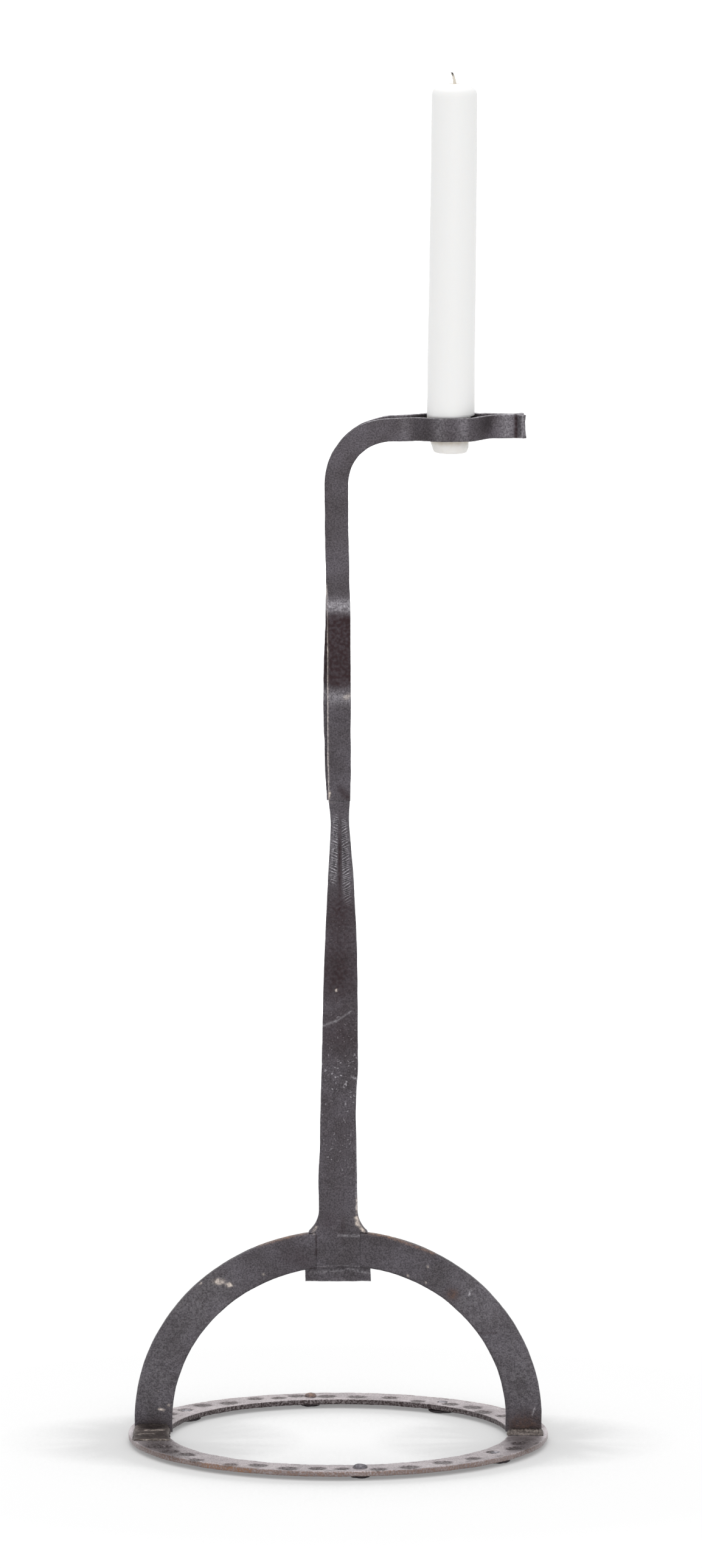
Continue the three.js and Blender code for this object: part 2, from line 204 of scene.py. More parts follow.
def geometry_tree(name, sizes):
    """A Geometry Nodes tree with a geometry and named sizes going in, and a geometry coming out."""
    tree = bpy.data.node_groups.new(name, "GeometryNodeTree")
    tree.interface.new_socket("Geometry", in_out="INPUT", socket_type="NodeSocketGeometry")
    for label, value in sizes.items():
        socket = tree.interface.new_socket(label, in_out="INPUT", socket_type=SOCKETS[type(value)])
        socket.default_value = value
    tree.interface.new_socket("Material", in_out="INPUT", socket_type="NodeSocketMaterial")
    tree.interface.new_socket("Geometry", in_out="OUTPUT", socket_type="NodeSocketGeometry")
    return tree, add(tree, "NodeGroupInput").outputs


def close_tree(tree, geometry, material):
    """Ends a tree: instances are made real and the material is set."""
    real = add(tree, "GeometryNodeRealizeInstances", {"Geometry": geometry})
    painted = add(tree, "GeometryNodeSetMaterial", {"Geometry": real, "Material": material})
    add(tree, "NodeGroupOutput", {"Geometry": painted})


def run_tree(piece, tree, material, sizes=None):
    """Runs a Geometry Nodes tree on an object and keeps the result as its plain mesh."""
    modifier = piece.modifiers.new(tree.name, "NODES")
    modifier.node_group = tree
    values = {"Material": material, **(sizes or {})}
    for item in tree.interface.items_tree:
        if item.in_out == "INPUT" and item.name in values:
            modifier[item.identifier] = values[item.name]
    return plain(piece)


# %% [markdown]
# ## Colour and marks
#
# Colours are written as the hex values that a paint chart uses, and the renderer wants linear
# light, so one function turns them. Marks such as a scratch, a drip of flux or a patch of scale sit
# at one place on one piece. Each is stored on the mesh as an attribute from 0 to 1, a soft-edged
# line or spot, and the materials decide what such a place looks like.


# %% Hex colours and marks on a mesh
def colour(hex_code):
    """A hex colour as linear red, green and blue, with full alpha."""
    channels = [int(hex_code[i:i + 2], 16) / 255 for i in (1, 3, 5)]
    return [c / 12.92 if c <= 0.04045 else ((c + 0.055) / 1.055) ** 2.4 for c in channels] + [1.0]


def rows_of(items, name):
    """One named value of many mesh items, as rows of three numbers."""
    flat = np.empty(len(items) * 3)
    items.foreach_get(name, flat)
    return flat.reshape(-1, 3)


def points_of(piece):
    """A piece's points in millimetres."""
    return rows_of(piece.data.vertices, "co") / MM


def move_points(piece, points):
    """Sets a piece's points, in millimetres."""
    piece.data.vertices.foreach_set("co", (points * MM).ravel())
    piece.data.update()


def upwards(piece):
    """How far each point of a piece faces upwards, from -1 to 1."""
    return rows_of(piece.data.vertex_normals, "vector")[:, 2]


def store(piece, name, values):
    """Adds values to a point attribute of the piece, kept from 0 to 1."""
    mesh = piece.data
    attribute = mesh.attributes.get(name) or mesh.attributes.new(name, "FLOAT", "POINT")
    before = np.empty(len(mesh.vertices))
    attribute.data.foreach_get("value", before)
    attribute.data.foreach_set("value", np.clip(before + values, 0, 1))


def marks(piece, name, lines):
    """Stores soft lines and spots: each is (start, end, reach, strength), with the reach in X, Y, Z."""
    points = points_of(piece)
    total = np.zeros(len(points))
    for start, end, reach, strength in lines:
        start = np.array(start, float)
        line = np.array(end, float) - start
        share = np.clip((points - start) @ line / max(line @ line, 1e-9), 0, 1)
        away = (points - start - share[:, None] * line) / np.array(reach, float)
        total += strength * np.exp(-(away ** 2).sum(1))
    store(piece, name, total)


print("mid grey as linear light:", [round(c, 3) for c in colour("#808080")[:3]])

# %% [markdown]
# ## Blackened forged iron
#
# The bars are mild steel, heated and hammered, then oiled and burnt black. The fire leaves a thin
# oxide skin that is dark, slightly uneven and a little purple, with a fine grain from the scale.
# Where hands and edges rub, the grey metal comes through, and the same pale colour also stands for
# painted highlights along sharp edges and on faces that look up. The same recipe with paler colours is
# the ring, whose upper face was hammered bare after the fire, and a browner one is the weld.
#
# Iron is a metal all over except where flux or rust lies on it. The grain drives colour, roughness
# and bump together, because one and the same crust makes all three. The real grain is nearer a
# quarter of a millimetre: it is drawn three times as coarse, so that it shows from a few metres off.

# %% Iron as one recipe for two finishes
GRAIN = 0.75
CLOUD = 14.0
FLAKE = 1.5
# How broken up each mark is: its share in the hollows and on the heights of the flake pattern.
PATCHY = {"rubbed": (0.35, 1.2), "scale": (0.65, 1.1), "rust": (0.3, 1.2), "flux": (0.4, 1.4)}
RUST = "#86644e"
FLUX = "#dacdc3"


def per_mm(size):
    """The scale of a pattern whose features are this many millimetres across."""
    return 1 / (size * MM)


def forged_iron(name, low, high, bare_and_sheen, scale, rough, flake_size=FLAKE):
    """Forged iron: low and high are its clouded skin, bare_and_sheen is rubbed metal and painted highlight,
    scale is burnt crust.
    """
    material = bpy.data.materials.new(name)
    material.use_nodes = True
    tree = material.node_tree
    shader = tree.nodes["Principled BSDF"]
    place = add(tree, "ShaderNodeTexCoord").outputs["Object"]
    cloud = add(tree, "ShaderNodeTexNoise", {"Vector": place, "Scale": per_mm(CLOUD), "Detail": 3.0})
    grain = add(tree, "ShaderNodeTexNoise", {"Vector": place, "Scale": per_mm(GRAIN), "Detail": 2.0})
    flake = add(tree, "ShaderNodeTexNoise", {"Vector": place, "Scale": per_mm(flake_size), "Detail": 4.0})

    clouded = add(tree, "ShaderNodeMapRange", {"Value": cloud, "From Min": 0.35, "From Max": 0.65})
    skin = add(tree, "ShaderNodeMix", {"Factor": clouded, "A": colour(low), "B": colour(high)},
               data_type="RGBA")
    speck = add(tree, "ShaderNodeMapRange",
                {"Value": grain, "From Min": 0.3, "From Max": 0.7, "To Min": 0.72, "To Max": 1.28})
    skin = add(tree, "ShaderNodeMix", {"Factor": 1.0, "A": skin, "B": speck},
               data_type="RGBA", blend_type="MULTIPLY")

    layers = {}
    for mark, (least, most) in PATCHY.items():
        broken = add(tree, "ShaderNodeMapRange",
                     {"Value": flake, "From Min": 0.4, "From Max": 0.62, "To Min": least, "To Max": most})
        stored = add(tree, "ShaderNodeAttribute", attribute_name=mark).outputs["Fac"]
        layers[mark] = add(tree, "ShaderNodeMath", {0: stored, 1: broken},
                           operation="MULTIPLY", use_clamp=True)
    flaky = add(tree, "ShaderNodeAttribute", attribute_name="flaky").outputs["Fac"]
    bright = add(tree, "ShaderNodeMapRange", {"Value": flake, "From Min": 0.62, "From Max": 0.7})
    flecks = add(tree, "ShaderNodeMath", {0: bright, 1: flaky}, operation="MULTIPLY", use_clamp=True)
    lit = add(tree, "ShaderNodeMath", {0: layers["rubbed"], 1: flecks}, operation="MAXIMUM")

    for factor, hex_code in ((lit, bare_and_sheen), (layers["scale"], scale),
                             (layers["rust"], RUST), (layers["flux"], FLUX)):
        skin = add(tree, "ShaderNodeMix", {"Factor": factor, "A": skin, "B": colour(hex_code)},
                   data_type="RGBA")
    tree.links.new(skin.outputs[2], shader.inputs["Base Color"])

    crust = add(tree, "ShaderNodeMath", {0: layers["rust"], 1: layers["flux"]},
                operation="ADD", use_clamp=True)
    metal = add(tree, "ShaderNodeMath", {0: 1.0, 1: crust}, operation="SUBTRACT")
    tree.links.new(metal.outputs[0], shader.inputs["Metallic"])
    uneven = add(tree, "ShaderNodeMapRange",
                 {"Value": grain, "From Min": 0.3, "From Max": 0.7,
                  "To Min": rough + 0.1, "To Max": rough - 0.1})
    tree.links.new(uneven.outputs[0], shader.inputs["Roughness"])
    fine = add(tree, "ShaderNodeBump", {"Height": grain, "Distance": 0.10 * MM, "Strength": 0.8})
    relief = add(tree, "ShaderNodeBump",
                 {"Height": flake, "Distance": 0.12 * MM, "Strength": 0.6, "Normal": fine})
    tree.links.new(relief.outputs[0], shader.inputs["Normal"])
    return material


blackened_iron = forged_iron("blackened forged iron", "#4c484b", "#59555a", "#a6a3a8", "#33282a", 0.52)
worn_iron = forged_iron("worn forged iron", "#9f9799", "#b6aeb0", "#d2cbce", "#423939", 0.48, 1.0)
weld_metal = forged_iron("arc weld in mild steel", "#59524f", "#6e6663", "#b5aca2", "#3c3433", 0.55)
print("iron materials:", blackened_iron.name, "/", worn_iron.name, "/", weld_metal.name)

# %% [markdown]
# ## Wax and cotton
#
# The candle is cast stearin and paraffin: nearly white, smooth, and a little see-through, so its
# edges stay bright. It has a soft gloss. Its lower end has picked up oil and soot from the iron,
# which is a stain and not a shape. The wick is plaited cotton, matt and cream, burnt black at the
# very tip.


# %% Candle wax and wick
def dyed(name, clean, stain, mark, rough, patch):
    """A soft material of one clean colour that a stored mark stains; patch is the stain's grain."""
    material = bpy.data.materials.new(name)
    material.use_nodes = True
    tree = material.node_tree
    shader = tree.nodes["Principled BSDF"]
    place = add(tree, "ShaderNodeTexCoord").outputs["Object"]
    blot = add(tree, "ShaderNodeTexNoise", {"Vector": place, "Scale": per_mm(patch), "Detail": 3.0})
    uneven = add(tree, "ShaderNodeMapRange",
                 {"Value": blot, "From Min": 0.3, "From Max": 0.7, "To Min": 0.6, "To Max": 1.2})
    stored = add(tree, "ShaderNodeAttribute", attribute_name=mark).outputs["Fac"]
    amount = add(tree, "ShaderNodeMath", {0: stored, 1: uneven}, operation="MULTIPLY", use_clamp=True)
    tint = add(tree, "ShaderNodeMix", {"Factor": amount, "A": colour(clean), "B": colour(stain)},
               data_type="RGBA")
    tree.links.new(tint.outputs[2], shader.inputs["Base Color"])
    relief = add(tree, "ShaderNodeBump", {"Height": blot, "Distance": 0.05 * MM, "Strength": 0.5})
    tree.links.new(relief.outputs[0], shader.inputs["Normal"])
    shader.inputs["Roughness"].default_value = rough
    return material


wax = dyed("cast candle wax", "#f4f4f3", "#bfa98a", "stain", 0.45, 3.0)
see_through = wax.node_tree.nodes["Principled BSDF"].inputs
see_through["IOR"].default_value = 1.44
see_through["Subsurface Weight"].default_value = 0.15
see_through["Subsurface Radius"].default_value = (1.0, 0.9, 0.8)
see_through["Subsurface Scale"].default_value = 3 * MM
cotton = dyed("plaited cotton wick", "#ddd6ca", "#2a2523", "burnt", 0.9, 0.4)
print("soft materials:", wax.name, "/", cotton.name)

# %% [markdown]
# ## The skin that the hammer leaves
#
# Hot iron takes the shape of the hammer's face: shallow facets a centimetre across, never quite
# level. Over them lies the finer unevenness of the scale. Both belong in the mesh, because they
# move the outline and the highlights. A Geometry Nodes tree fits, as it is the same for every bar:
# it sinks each point along its normal by a pattern, and never lifts one, so no piece outgrows its
# packed size. It also stores where the bar bends sharply outwards: those edges wear bright, and the
# lighter colour there is also a painted highlight along the edges.

# %% Geometry Nodes: forged skin
skin_tree, given = geometry_tree("Forged skin", {
    "Facet size": 9 * MM,
    "Facet depth": 0.22 * MM,
    "Pit size": 2.2 * MM,
    "Pit depth": 0.10 * MM,
    "Edge wear": 0.25,
    "Seed": 1.0,
})
facet_scale = add(skin_tree, "ShaderNodeMath", {0: 1.0, 1: given["Facet size"]}, operation="DIVIDE")
facets = add(skin_tree, "ShaderNodeTexNoise",
             {"W": given["Seed"], "Scale": facet_scale, "Detail": 0.5}, noise_dimensions="4D")
pit_scale = add(skin_tree, "ShaderNodeMath", {0: 1.0, 1: given["Pit size"]}, operation="DIVIDE")
pits = add(skin_tree, "ShaderNodeTexNoise",
           {"W": given["Seed"], "Scale": pit_scale, "Detail": 1.0}, noise_dimensions="4D")
facet_drop = add(skin_tree, "ShaderNodeMapRange",
                 {"Value": facets, "From Min": 0.42, "From Max": 0.72, "To Max": given["Facet depth"]})
pit_drop = add(skin_tree, "ShaderNodeMapRange",
               {"Value": pits, "From Min": 0.42, "From Max": 0.72, "To Max": given["Pit depth"]})
drop = add(skin_tree, "ShaderNodeMath", {0: facet_drop, 1: pit_drop}, operation="ADD")
inward = add(skin_tree, "ShaderNodeMath", {0: drop, 1: -1.0}, operation="MULTIPLY")
normal = add(skin_tree, "GeometryNodeInputNormal")
shift = add(skin_tree, "ShaderNodeVectorMath", {"Vector": normal, "Scale": inward}, operation="SCALE")
# Sharp outward edges get a lighter colour: edge wear, and a painted highlight along them.
turn = add(skin_tree, "GeometryNodeInputMeshEdgeAngle").outputs["Signed Angle"]
ridge = add(skin_tree, "ShaderNodeMapRange",
            {"Value": turn, "From Min": math.radians(12), "From Max": math.radians(35)})
ridge = add(skin_tree, "ShaderNodeMath", {0: ridge, 1: given["Edge wear"]}, operation="MULTIPLY")
ridge_on_points = add(skin_tree, "GeometryNodeBlurAttribute",
                      {"Value": ridge, "Iterations": 1, "Weight": 0.6})
kept = add(skin_tree, "GeometryNodeStoreNamedAttribute",
           {"Geometry": given["Geometry"], "Name": "rubbed", "Value": ridge_on_points},
           data_type="FLOAT", domain="POINT")
dressed = add(skin_tree, "GeometryNodeSetPosition", {"Geometry": kept, "Offset": shift})
close_tree(skin_tree, dressed, given["Material"])
print("skin tree nodes:", len(skin_tree.nodes))

# %% Forge, cut and finish a piece
PLAIN_INPUTS = ("edge_wear", "seed")


def forge(piece, material, **sizes):
    """Gives a piece the hammered skin. Sizes are the tree's inputs, in millimetres but two of them."""
    values = {}
    for label, value in sizes.items():
        values[label.replace("_", " ").capitalize()] = value * (1.0 if label in PLAIN_INPUTS else MM)
    return run_tree(piece, skin_tree, material, values)


def cut(piece, *tools):
    """Cuts tools out of a piece and clears them away."""
    for tool in tools:
        saw = piece.modifiers.new("cut", "BOOLEAN")
        saw.object = tool
        saw.operation = "DIFFERENCE"
        saw.solver = "EXACT"
        plain(piece)
        bpy.data.objects.remove(tool)
    return piece


def finish_piece(piece, body, slot_name, *nodes):
    """Puts a finished piece on its body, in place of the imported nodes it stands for."""
    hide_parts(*nodes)
    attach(piece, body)
    print(f"{piece.name}: {len(piece.data.polygons)} faces, on {body}")


# %% [markdown]
# ## The base ring
#
# On the real holder the ring is a flat bar bent the hard way, welded shut and planished: a ball
# peen walked round it, blow by blow, and it was spread wider where the arch stands. The rule is
# plain, so the whole ring is a Geometry Nodes tree: a circle carries a rounded section, the band is
# spread towards the two sides, and rows of dents follow it round. Each dent gets its own place and
# size from a seeded random value, so that no two blows are alike.

# %% Geometry Nodes: planished ring
ring_low, ring_high = cad("base_ring")
RING_TOP = float(ring_high[2])
RING_R = float(ring_high[0])
RING_SPREAD = 2.5
RING_INNER_R = 87.5
RING_AROUND = 900
RING_SECTION = 80

ring_tree, given = geometry_tree("Planished ring", {
    "Outer radius": RING_R * MM,
    "Inner radius": RING_INNER_R * MM,
    "Spread": RING_SPREAD * MM,
    "Bottom": float(ring_low[2]) * MM,
    "Top": RING_TOP * MM,
    "Soft edge": 0.55 * MM,
    "Seed": 4,
})
both = add(ring_tree, "ShaderNodeMath", {0: given["Outer radius"], 1: given["Inner radius"]},
           operation="ADD")
middle = add(ring_tree, "ShaderNodeMath", {0: both, 1: 0.5}, operation="MULTIPLY")
width = add(ring_tree, "ShaderNodeMath", {0: given["Outer radius"], 1: given["Inner radius"]},
            operation="SUBTRACT")
thick = add(ring_tree, "ShaderNodeMath", {0: given["Top"], 1: given["Bottom"]}, operation="SUBTRACT")
circle = add(ring_tree, "GeometryNodeCurvePrimitiveCircle", {"Resolution": RING_AROUND, "Radius": middle})
upright = add(ring_tree, "GeometryNodeSetCurveNormal", {"Curve": circle}, mode="Z_UP")
oblong = add(ring_tree, "GeometryNodeCurvePrimitiveQuadrilateral", {"Width": width, "Height": thick})
softened = add(ring_tree, "GeometryNodeFilletCurve",
               {"Curve": oblong, "Radius": given["Soft edge"], "Count": 4}, mode="POLY")
section = add(ring_tree, "GeometryNodeResampleCurve", {"Curve": softened, "Count": RING_SECTION})
band = add(ring_tree, "GeometryNodeCurveToMesh", {"Curve": upright, "Profile Curve": section})
print("ring tree nodes for the band:", len(ring_tree.nodes))

# %% Spread the band towards its two sides
# The inner edge moves in by the fourth power of the cosine, and the outer edge stays.
at = add(ring_tree, "ShaderNodeSeparateXYZ", {0: add(ring_tree, "GeometryNodeInputPosition")}).outputs
flat = add(ring_tree, "ShaderNodeCombineXYZ", {"X": at["X"], "Y": at["Y"]})
reach = add(ring_tree, "ShaderNodeVectorMath", {0: flat}, operation="LENGTH").outputs["Value"]
cosine = add(ring_tree, "ShaderNodeMath", {0: at["X"], 1: reach}, operation="DIVIDE")
sideways = add(ring_tree, "ShaderNodeMath", {0: cosine, 1: 2.0}, operation="POWER")
sideways = add(ring_tree, "ShaderNodeMath", {0: sideways, 1: 2.0}, operation="POWER")
extra = add(ring_tree, "ShaderNodeMath", {0: given["Spread"], 1: width}, operation="DIVIDE")
stretch = add(ring_tree, "ShaderNodeMath", {0: sideways, 1: extra, 2: 1.0}, operation="MULTIPLY_ADD")
from_rim = add(ring_tree, "ShaderNodeMath", {0: given["Outer radius"], 1: reach}, operation="SUBTRACT")
from_rim = add(ring_tree, "ShaderNodeMath", {0: from_rim, 1: stretch}, operation="MULTIPLY")
new_reach = add(ring_tree, "ShaderNodeMath", {0: given["Outer radius"], 1: from_rim}, operation="SUBTRACT")
share = add(ring_tree, "ShaderNodeMath", {0: new_reach, 1: reach}, operation="DIVIDE")
spread_flat = add(ring_tree, "ShaderNodeVectorMath", {"Vector": flat, "Scale": share}, operation="SCALE")
lift = add(ring_tree, "ShaderNodeMath", {0: given["Top"], 1: given["Bottom"]}, operation="ADD")
lift = add(ring_tree, "ShaderNodeMath", {0: lift, 1: 0.5, 2: at["Z"]}, operation="MULTIPLY_ADD")
raised = add(ring_tree, "ShaderNodeCombineXYZ", {"Z": lift})
spread_at = add(ring_tree, "ShaderNodeVectorMath", {0: spread_flat, 1: raised}, operation="ADD")
band = add(ring_tree, "GeometryNodeSetPosition", {"Geometry": band, "Position": spread_at})
print("ring tree nodes with the spread:", len(ring_tree.nodes))

# %% Rows of light blows round the ring
# Each row: how many, place from the middle of the band, scatter, half length, half width, depth.
BLOWS = [(33, 6.2, 1.2, 3.0, 1.3, 0.20), (29, -6.8, 0.9, 2.6, 1.1, 0.14)]
position = add(ring_tree, "GeometryNodeInputPosition")
here = add(ring_tree, "ShaderNodeVectorMath", {0: position, 1: (1.0, 1.0, 0.0)}, operation="MULTIPLY")
ragged = add(ring_tree, "ShaderNodeTexNoise", {"Scale": per_mm(4), "Detail": 2.0})
wobble = add(ring_tree, "ShaderNodeMapRange",
             {"Value": ragged, "From Min": 0.3, "From Max": 0.7, "To Min": 0.75, "To Max": 1.3})
sunk, scaled = None, None
for row, (count, offset, scatter, length, breadth, depth) in enumerate(BLOWS):
    seed = add(ring_tree, "ShaderNodeMath", {0: given["Seed"], 1: 10.0 * row}, operation="ADD")
    sway = add(ring_tree, "FunctionNodeRandomValue", {"Min": 0.22, "Max": 0.78, "Seed": seed})
    order = add(ring_tree, "ShaderNodeMath", {0: add(ring_tree, "GeometryNodeInputIndex"), 1: sway},
                operation="ADD")
    angle = add(ring_tree, "ShaderNodeMath", {0: order, 1: 2 * math.pi / count}, operation="MULTIPLY")
    seed = add(ring_tree, "ShaderNodeMath", {0: seed, 1: 1.0}, operation="ADD")
    out = add(ring_tree, "FunctionNodeRandomValue",
              {"Min": (offset - scatter) * MM, "Max": (offset + scatter) * MM, "Seed": seed})
    out = add(ring_tree, "ShaderNodeMath", {0: out, 1: middle}, operation="ADD")
    arm = add(ring_tree, "ShaderNodeCombineXYZ", {"X": out})
    centre = add(ring_tree, "ShaderNodeVectorRotate",
                 {"Vector": arm, "Axis": (0.0, 0.0, 1.0), "Angle": angle}, rotation_type="AXIS_ANGLE")
    blows = add(ring_tree, "GeometryNodePoints", {"Count": count, "Position": centre})
    nearest = add(ring_tree, "GeometryNodeSampleNearest", {"Geometry": blows, "Sample Position": here})
    seed = add(ring_tree, "ShaderNodeMath", {0: seed, 1: 1.0}, operation="ADD")
    force = add(ring_tree, "FunctionNodeRandomValue", {"Min": 0.72, "Max": 1.12, "Seed": seed})
    force = add(ring_tree, "GeometryNodeSampleIndex", {"Geometry": blows, "Value": force, "Index": nearest})
    blow_at = add(ring_tree, "GeometryNodeSampleIndex",
                  {"Geometry": blows, "Value": add(ring_tree, "GeometryNodeInputPosition"), "Index": nearest},
                  data_type="FLOAT_VECTOR")
    away = add(ring_tree, "ShaderNodeVectorMath", {0: here, 1: blow_at}, operation="SUBTRACT")
    outward = add(ring_tree, "ShaderNodeVectorMath", {0: blow_at}, operation="NORMALIZE")
    along = add(ring_tree, "ShaderNodeVectorMath", {0: (0.0, 0.0, 1.0), 1: outward},
                operation="CROSS_PRODUCT")
    squares = []
    for direction, half in ((along, length), (outward, breadth)):
        part = add(ring_tree, "ShaderNodeVectorMath", {0: away, 1: direction},
                   operation="DOT_PRODUCT").outputs["Value"]
        part = add(ring_tree, "ShaderNodeMath", {0: part, 1: half * MM}, operation="DIVIDE")
        part = add(ring_tree, "ShaderNodeMath", {0: part, 1: force}, operation="DIVIDE")
        squares.append(add(ring_tree, "ShaderNodeMath", {0: part, 1: 2.0}, operation="POWER"))
    off_centre = add(ring_tree, "ShaderNodeMath", {0: squares[0], 1: squares[1]}, operation="ADD")
    off_centre = add(ring_tree, "ShaderNodeMath", {0: off_centre, 1: wobble}, operation="MULTIPLY")
    bowl = add(ring_tree, "ShaderNodeMapRange",
               {"Value": off_centre, "From Min": 0.0, "From Max": 1.0, "To Min": depth * MM, "To Max": 0.0},
               interpolation_type="SMOOTHSTEP")
    stain = add(ring_tree, "ShaderNodeMapRange",
                {"Value": off_centre, "From Min": 0.45, "From Max": 0.95, "To Min": 2 * depth, "To Max": 0.0})
    if sunk is None:
        sunk, scaled = bowl, stain
    else:
        sunk = add(ring_tree, "ShaderNodeMath", {0: sunk, 1: bowl}, operation="ADD")
        scaled = add(ring_tree, "ShaderNodeMath", {0: scaled, 1: stain}, operation="ADD")

facing = add(ring_tree, "ShaderNodeSeparateXYZ", {0: add(ring_tree, "GeometryNodeInputNormal")})
on_top = add(ring_tree, "ShaderNodeMapRange",
             {"Value": facing.outputs["Z"], "From Min": 0.5, "From Max": 0.9})
top_scale = add(ring_tree, "ShaderNodeMath", {0: scaled, 1: on_top}, operation="MULTIPLY")
struck = add(ring_tree, "GeometryNodeStoreNamedAttribute",
             {"Geometry": band, "Name": "scale", "Value": top_scale}, data_type="FLOAT", domain="POINT")
drop = add(ring_tree, "ShaderNodeMath", {0: sunk, 1: on_top}, operation="MULTIPLY")
drop = add(ring_tree, "ShaderNodeMath", {0: drop, 1: -1.0}, operation="MULTIPLY")
down = add(ring_tree, "ShaderNodeCombineXYZ", {"Z": drop})
struck = add(ring_tree, "GeometryNodeSetPosition", {"Geometry": struck, "Offset": down})
close_tree(ring_tree, struck, given["Material"])

base_ring = run_tree(raw_piece("planished_ring"), ring_tree, worn_iron)
print("ring box:", points_of(base_ring).min(0).round(2), points_of(base_ring).max(0).round(2))

# %% [markdown]
# ## Rivets that are feet
#
# Five rivets run through the ring. Their lower ends are beaten into pads that the holder stands
# on. Two have domed heads above, three are beaten flush into the ring. A rivet is turned round its
# axis, so a short profile makes one blank, and Geometry Nodes put the blank on each point where
# a rivet sits. The hammered skin comes after that, so every copy is worn in its own way.

# %% Turned blanks and Geometry Nodes: rivets on points
TURNED_SEGMENTS = 48
DOME_STEPS = 8
PAD_THICK = float(ring_low[2])
SHANK_R = 2.4


def turned(name, profile, step=0.5):
    """A body of revolution about Z from a profile of (radius, height) pairs in millimetres."""
    fine = [np.array(profile[:1], float)]
    for start, end in zip(profile, profile[1:]):
        count = max(1, round(math.dist(start, end) / step))
        share = np.linspace(0, 1, count + 1)[1:, None]
        fine.append(np.array(start) * (1 - share) + np.array(end) * share)
    radius, height = np.concatenate(fine).T
    turns = np.linspace(0, 2 * math.pi, TURNED_SEGMENTS, endpoint=False)
    rings = np.stack([radius[:, None] * np.cos(turns), radius[:, None] * np.sin(turns),
                      np.repeat(height[:, None], TURNED_SEGMENTS, 1)], 2)
    return skin_over(name, rings)


def arc_profile(radius, rise, seat):
    """The outline of a flat dome from its rim to its middle."""
    turns = np.linspace(0, math.pi / 2, DOME_STEPS + 1)
    return [(radius * math.cos(turn), seat + rise * math.sin(turn)) for turn in turns]


def rivet_tree(blank):
    """A tree that puts a rivet blank on each of a mesh's points."""
    tree, given = geometry_tree("Rivets on points", {"Turn": 0.0})
    source = add(tree, "GeometryNodeObjectInfo", {"Object": blank}).outputs["Geometry"]
    spots = add(tree, "GeometryNodeMeshToPoints", {"Mesh": given["Geometry"]})
    lean = add(tree, "ShaderNodeCombineXYZ", {"X": given["Turn"]})
    copies = add(tree, "GeometryNodeInstanceOnPoints",
                 {"Points": spots, "Instance": source, "Rotation": lean})
    close_tree(tree, copies, given["Material"])
    return tree


def rivets(name, blank, places, turn=0.0):
    """Rivets like a blank, with their origins at places in millimetres, as one mesh."""
    piece = run_tree(raw_piece(name, places), rivet_tree(blank), blackened_iron, {"Turn": turn})
    bpy.data.objects.remove(blank)
    return piece


def joined(name, *parts):
    """Several objects as one."""
    with bpy.context.temp_override(active_object=parts[0], selected_editable_objects=list(parts)):
        bpy.ops.object.join()
    parts[0].name = name
    parts[0].data.name = name
    return parts[0]


print("a dome's outline has", len(arc_profile(4, 2, 0)), "points")

# %% [markdown]
# ## Where the feet stand
#
# Each foot takes its place from the middle of its packed box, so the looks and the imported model
# can't drift apart. The ring is drilled for the shanks with an exact boolean before it gets its
# hammered skin, because a drill leaves a clean hole and the hammer then softens its rim.


# %% Feet, and the holes they pass through
def foot_places(*nodes):
    """Where rivets stand, from their packed boxes."""
    return [(*((low + high) / 2)[:2], 0.0) for low, high in map(cad, nodes)]


def pad_profile(radius):
    """A foot's pad from the middle of its sole up to the ring, with a rounded rim."""
    rim = [(radius - 0.7, 0.0), (radius - 0.2, 0.25), (radius, 0.7), (radius - 0.1, 1.2), (radius - 0.4, 1.5)]
    return [(0, 0), *rim, (radius - 0.9, PAD_THICK), (SHANK_R, PAD_THICK), (SHANK_R, RING_TOP)]


# Radius of the pad, and radius and rise of the head.
DOMED = {"foot_stud_front": (5.0, 3.8, 1.9), "foot_stud_back": (4.85, 3.25, 1.9)}
FLUSH = ("foot_stud_back_left", "foot_stud_back_right", "foot_stud_front_right")
FLUSH_PAD_R = 7.3
FLUSH_DISH = 0.35
feet = []
for node, (pad, head, rise) in DOMED.items():
    blank = turned("blank", pad_profile(pad) + arc_profile(head, rise, RING_TOP))
    feet.append(rivets(node + "_rivet", blank, foot_places(node)))
dish_z = RING_TOP - FLUSH_DISH
dish = [(SHANK_R, RING_TOP - 0.1), (SHANK_R - 0.6, dish_z), (0, dish_z)]
blank = turned("blank", pad_profile(FLUSH_PAD_R)[:-1] + dish)
feet.append(rivets("flush_rivets", blank, foot_places(*FLUSH)))

HOLE_GAP = 0.12
pin = turned("pin", [(0, 0), (SHANK_R + HOLE_GAP, 0), (SHANK_R + HOLE_GAP, 9), (0, 9)])
cut(base_ring, rivets("drill", pin, foot_places(*DOMED, *FLUSH)))
forge(base_ring, worn_iron, facet_size=11, facet_depth=0.2, pit_size=2.0, pit_depth=0.16, edge_wear=0.1,
      seed=3.0)
foot_rivets = forge(joined("foot_rivets", *feet), blackened_iron, facet_size=3, facet_depth=0.2,
                    pit_size=1.1, pit_depth=0.10, edge_wear=0.2, seed=5.0)

# %% [markdown]
# ## The blows that went deep
#
# Over the light rows, the smith set some thirty heavier blows, and the pits they left kept their
# scale when the face around them was rubbed bare. They follow no rule, so each has its own angle and
# distance in a list, and plain code sinks the points that lie inside it and stains them dark.

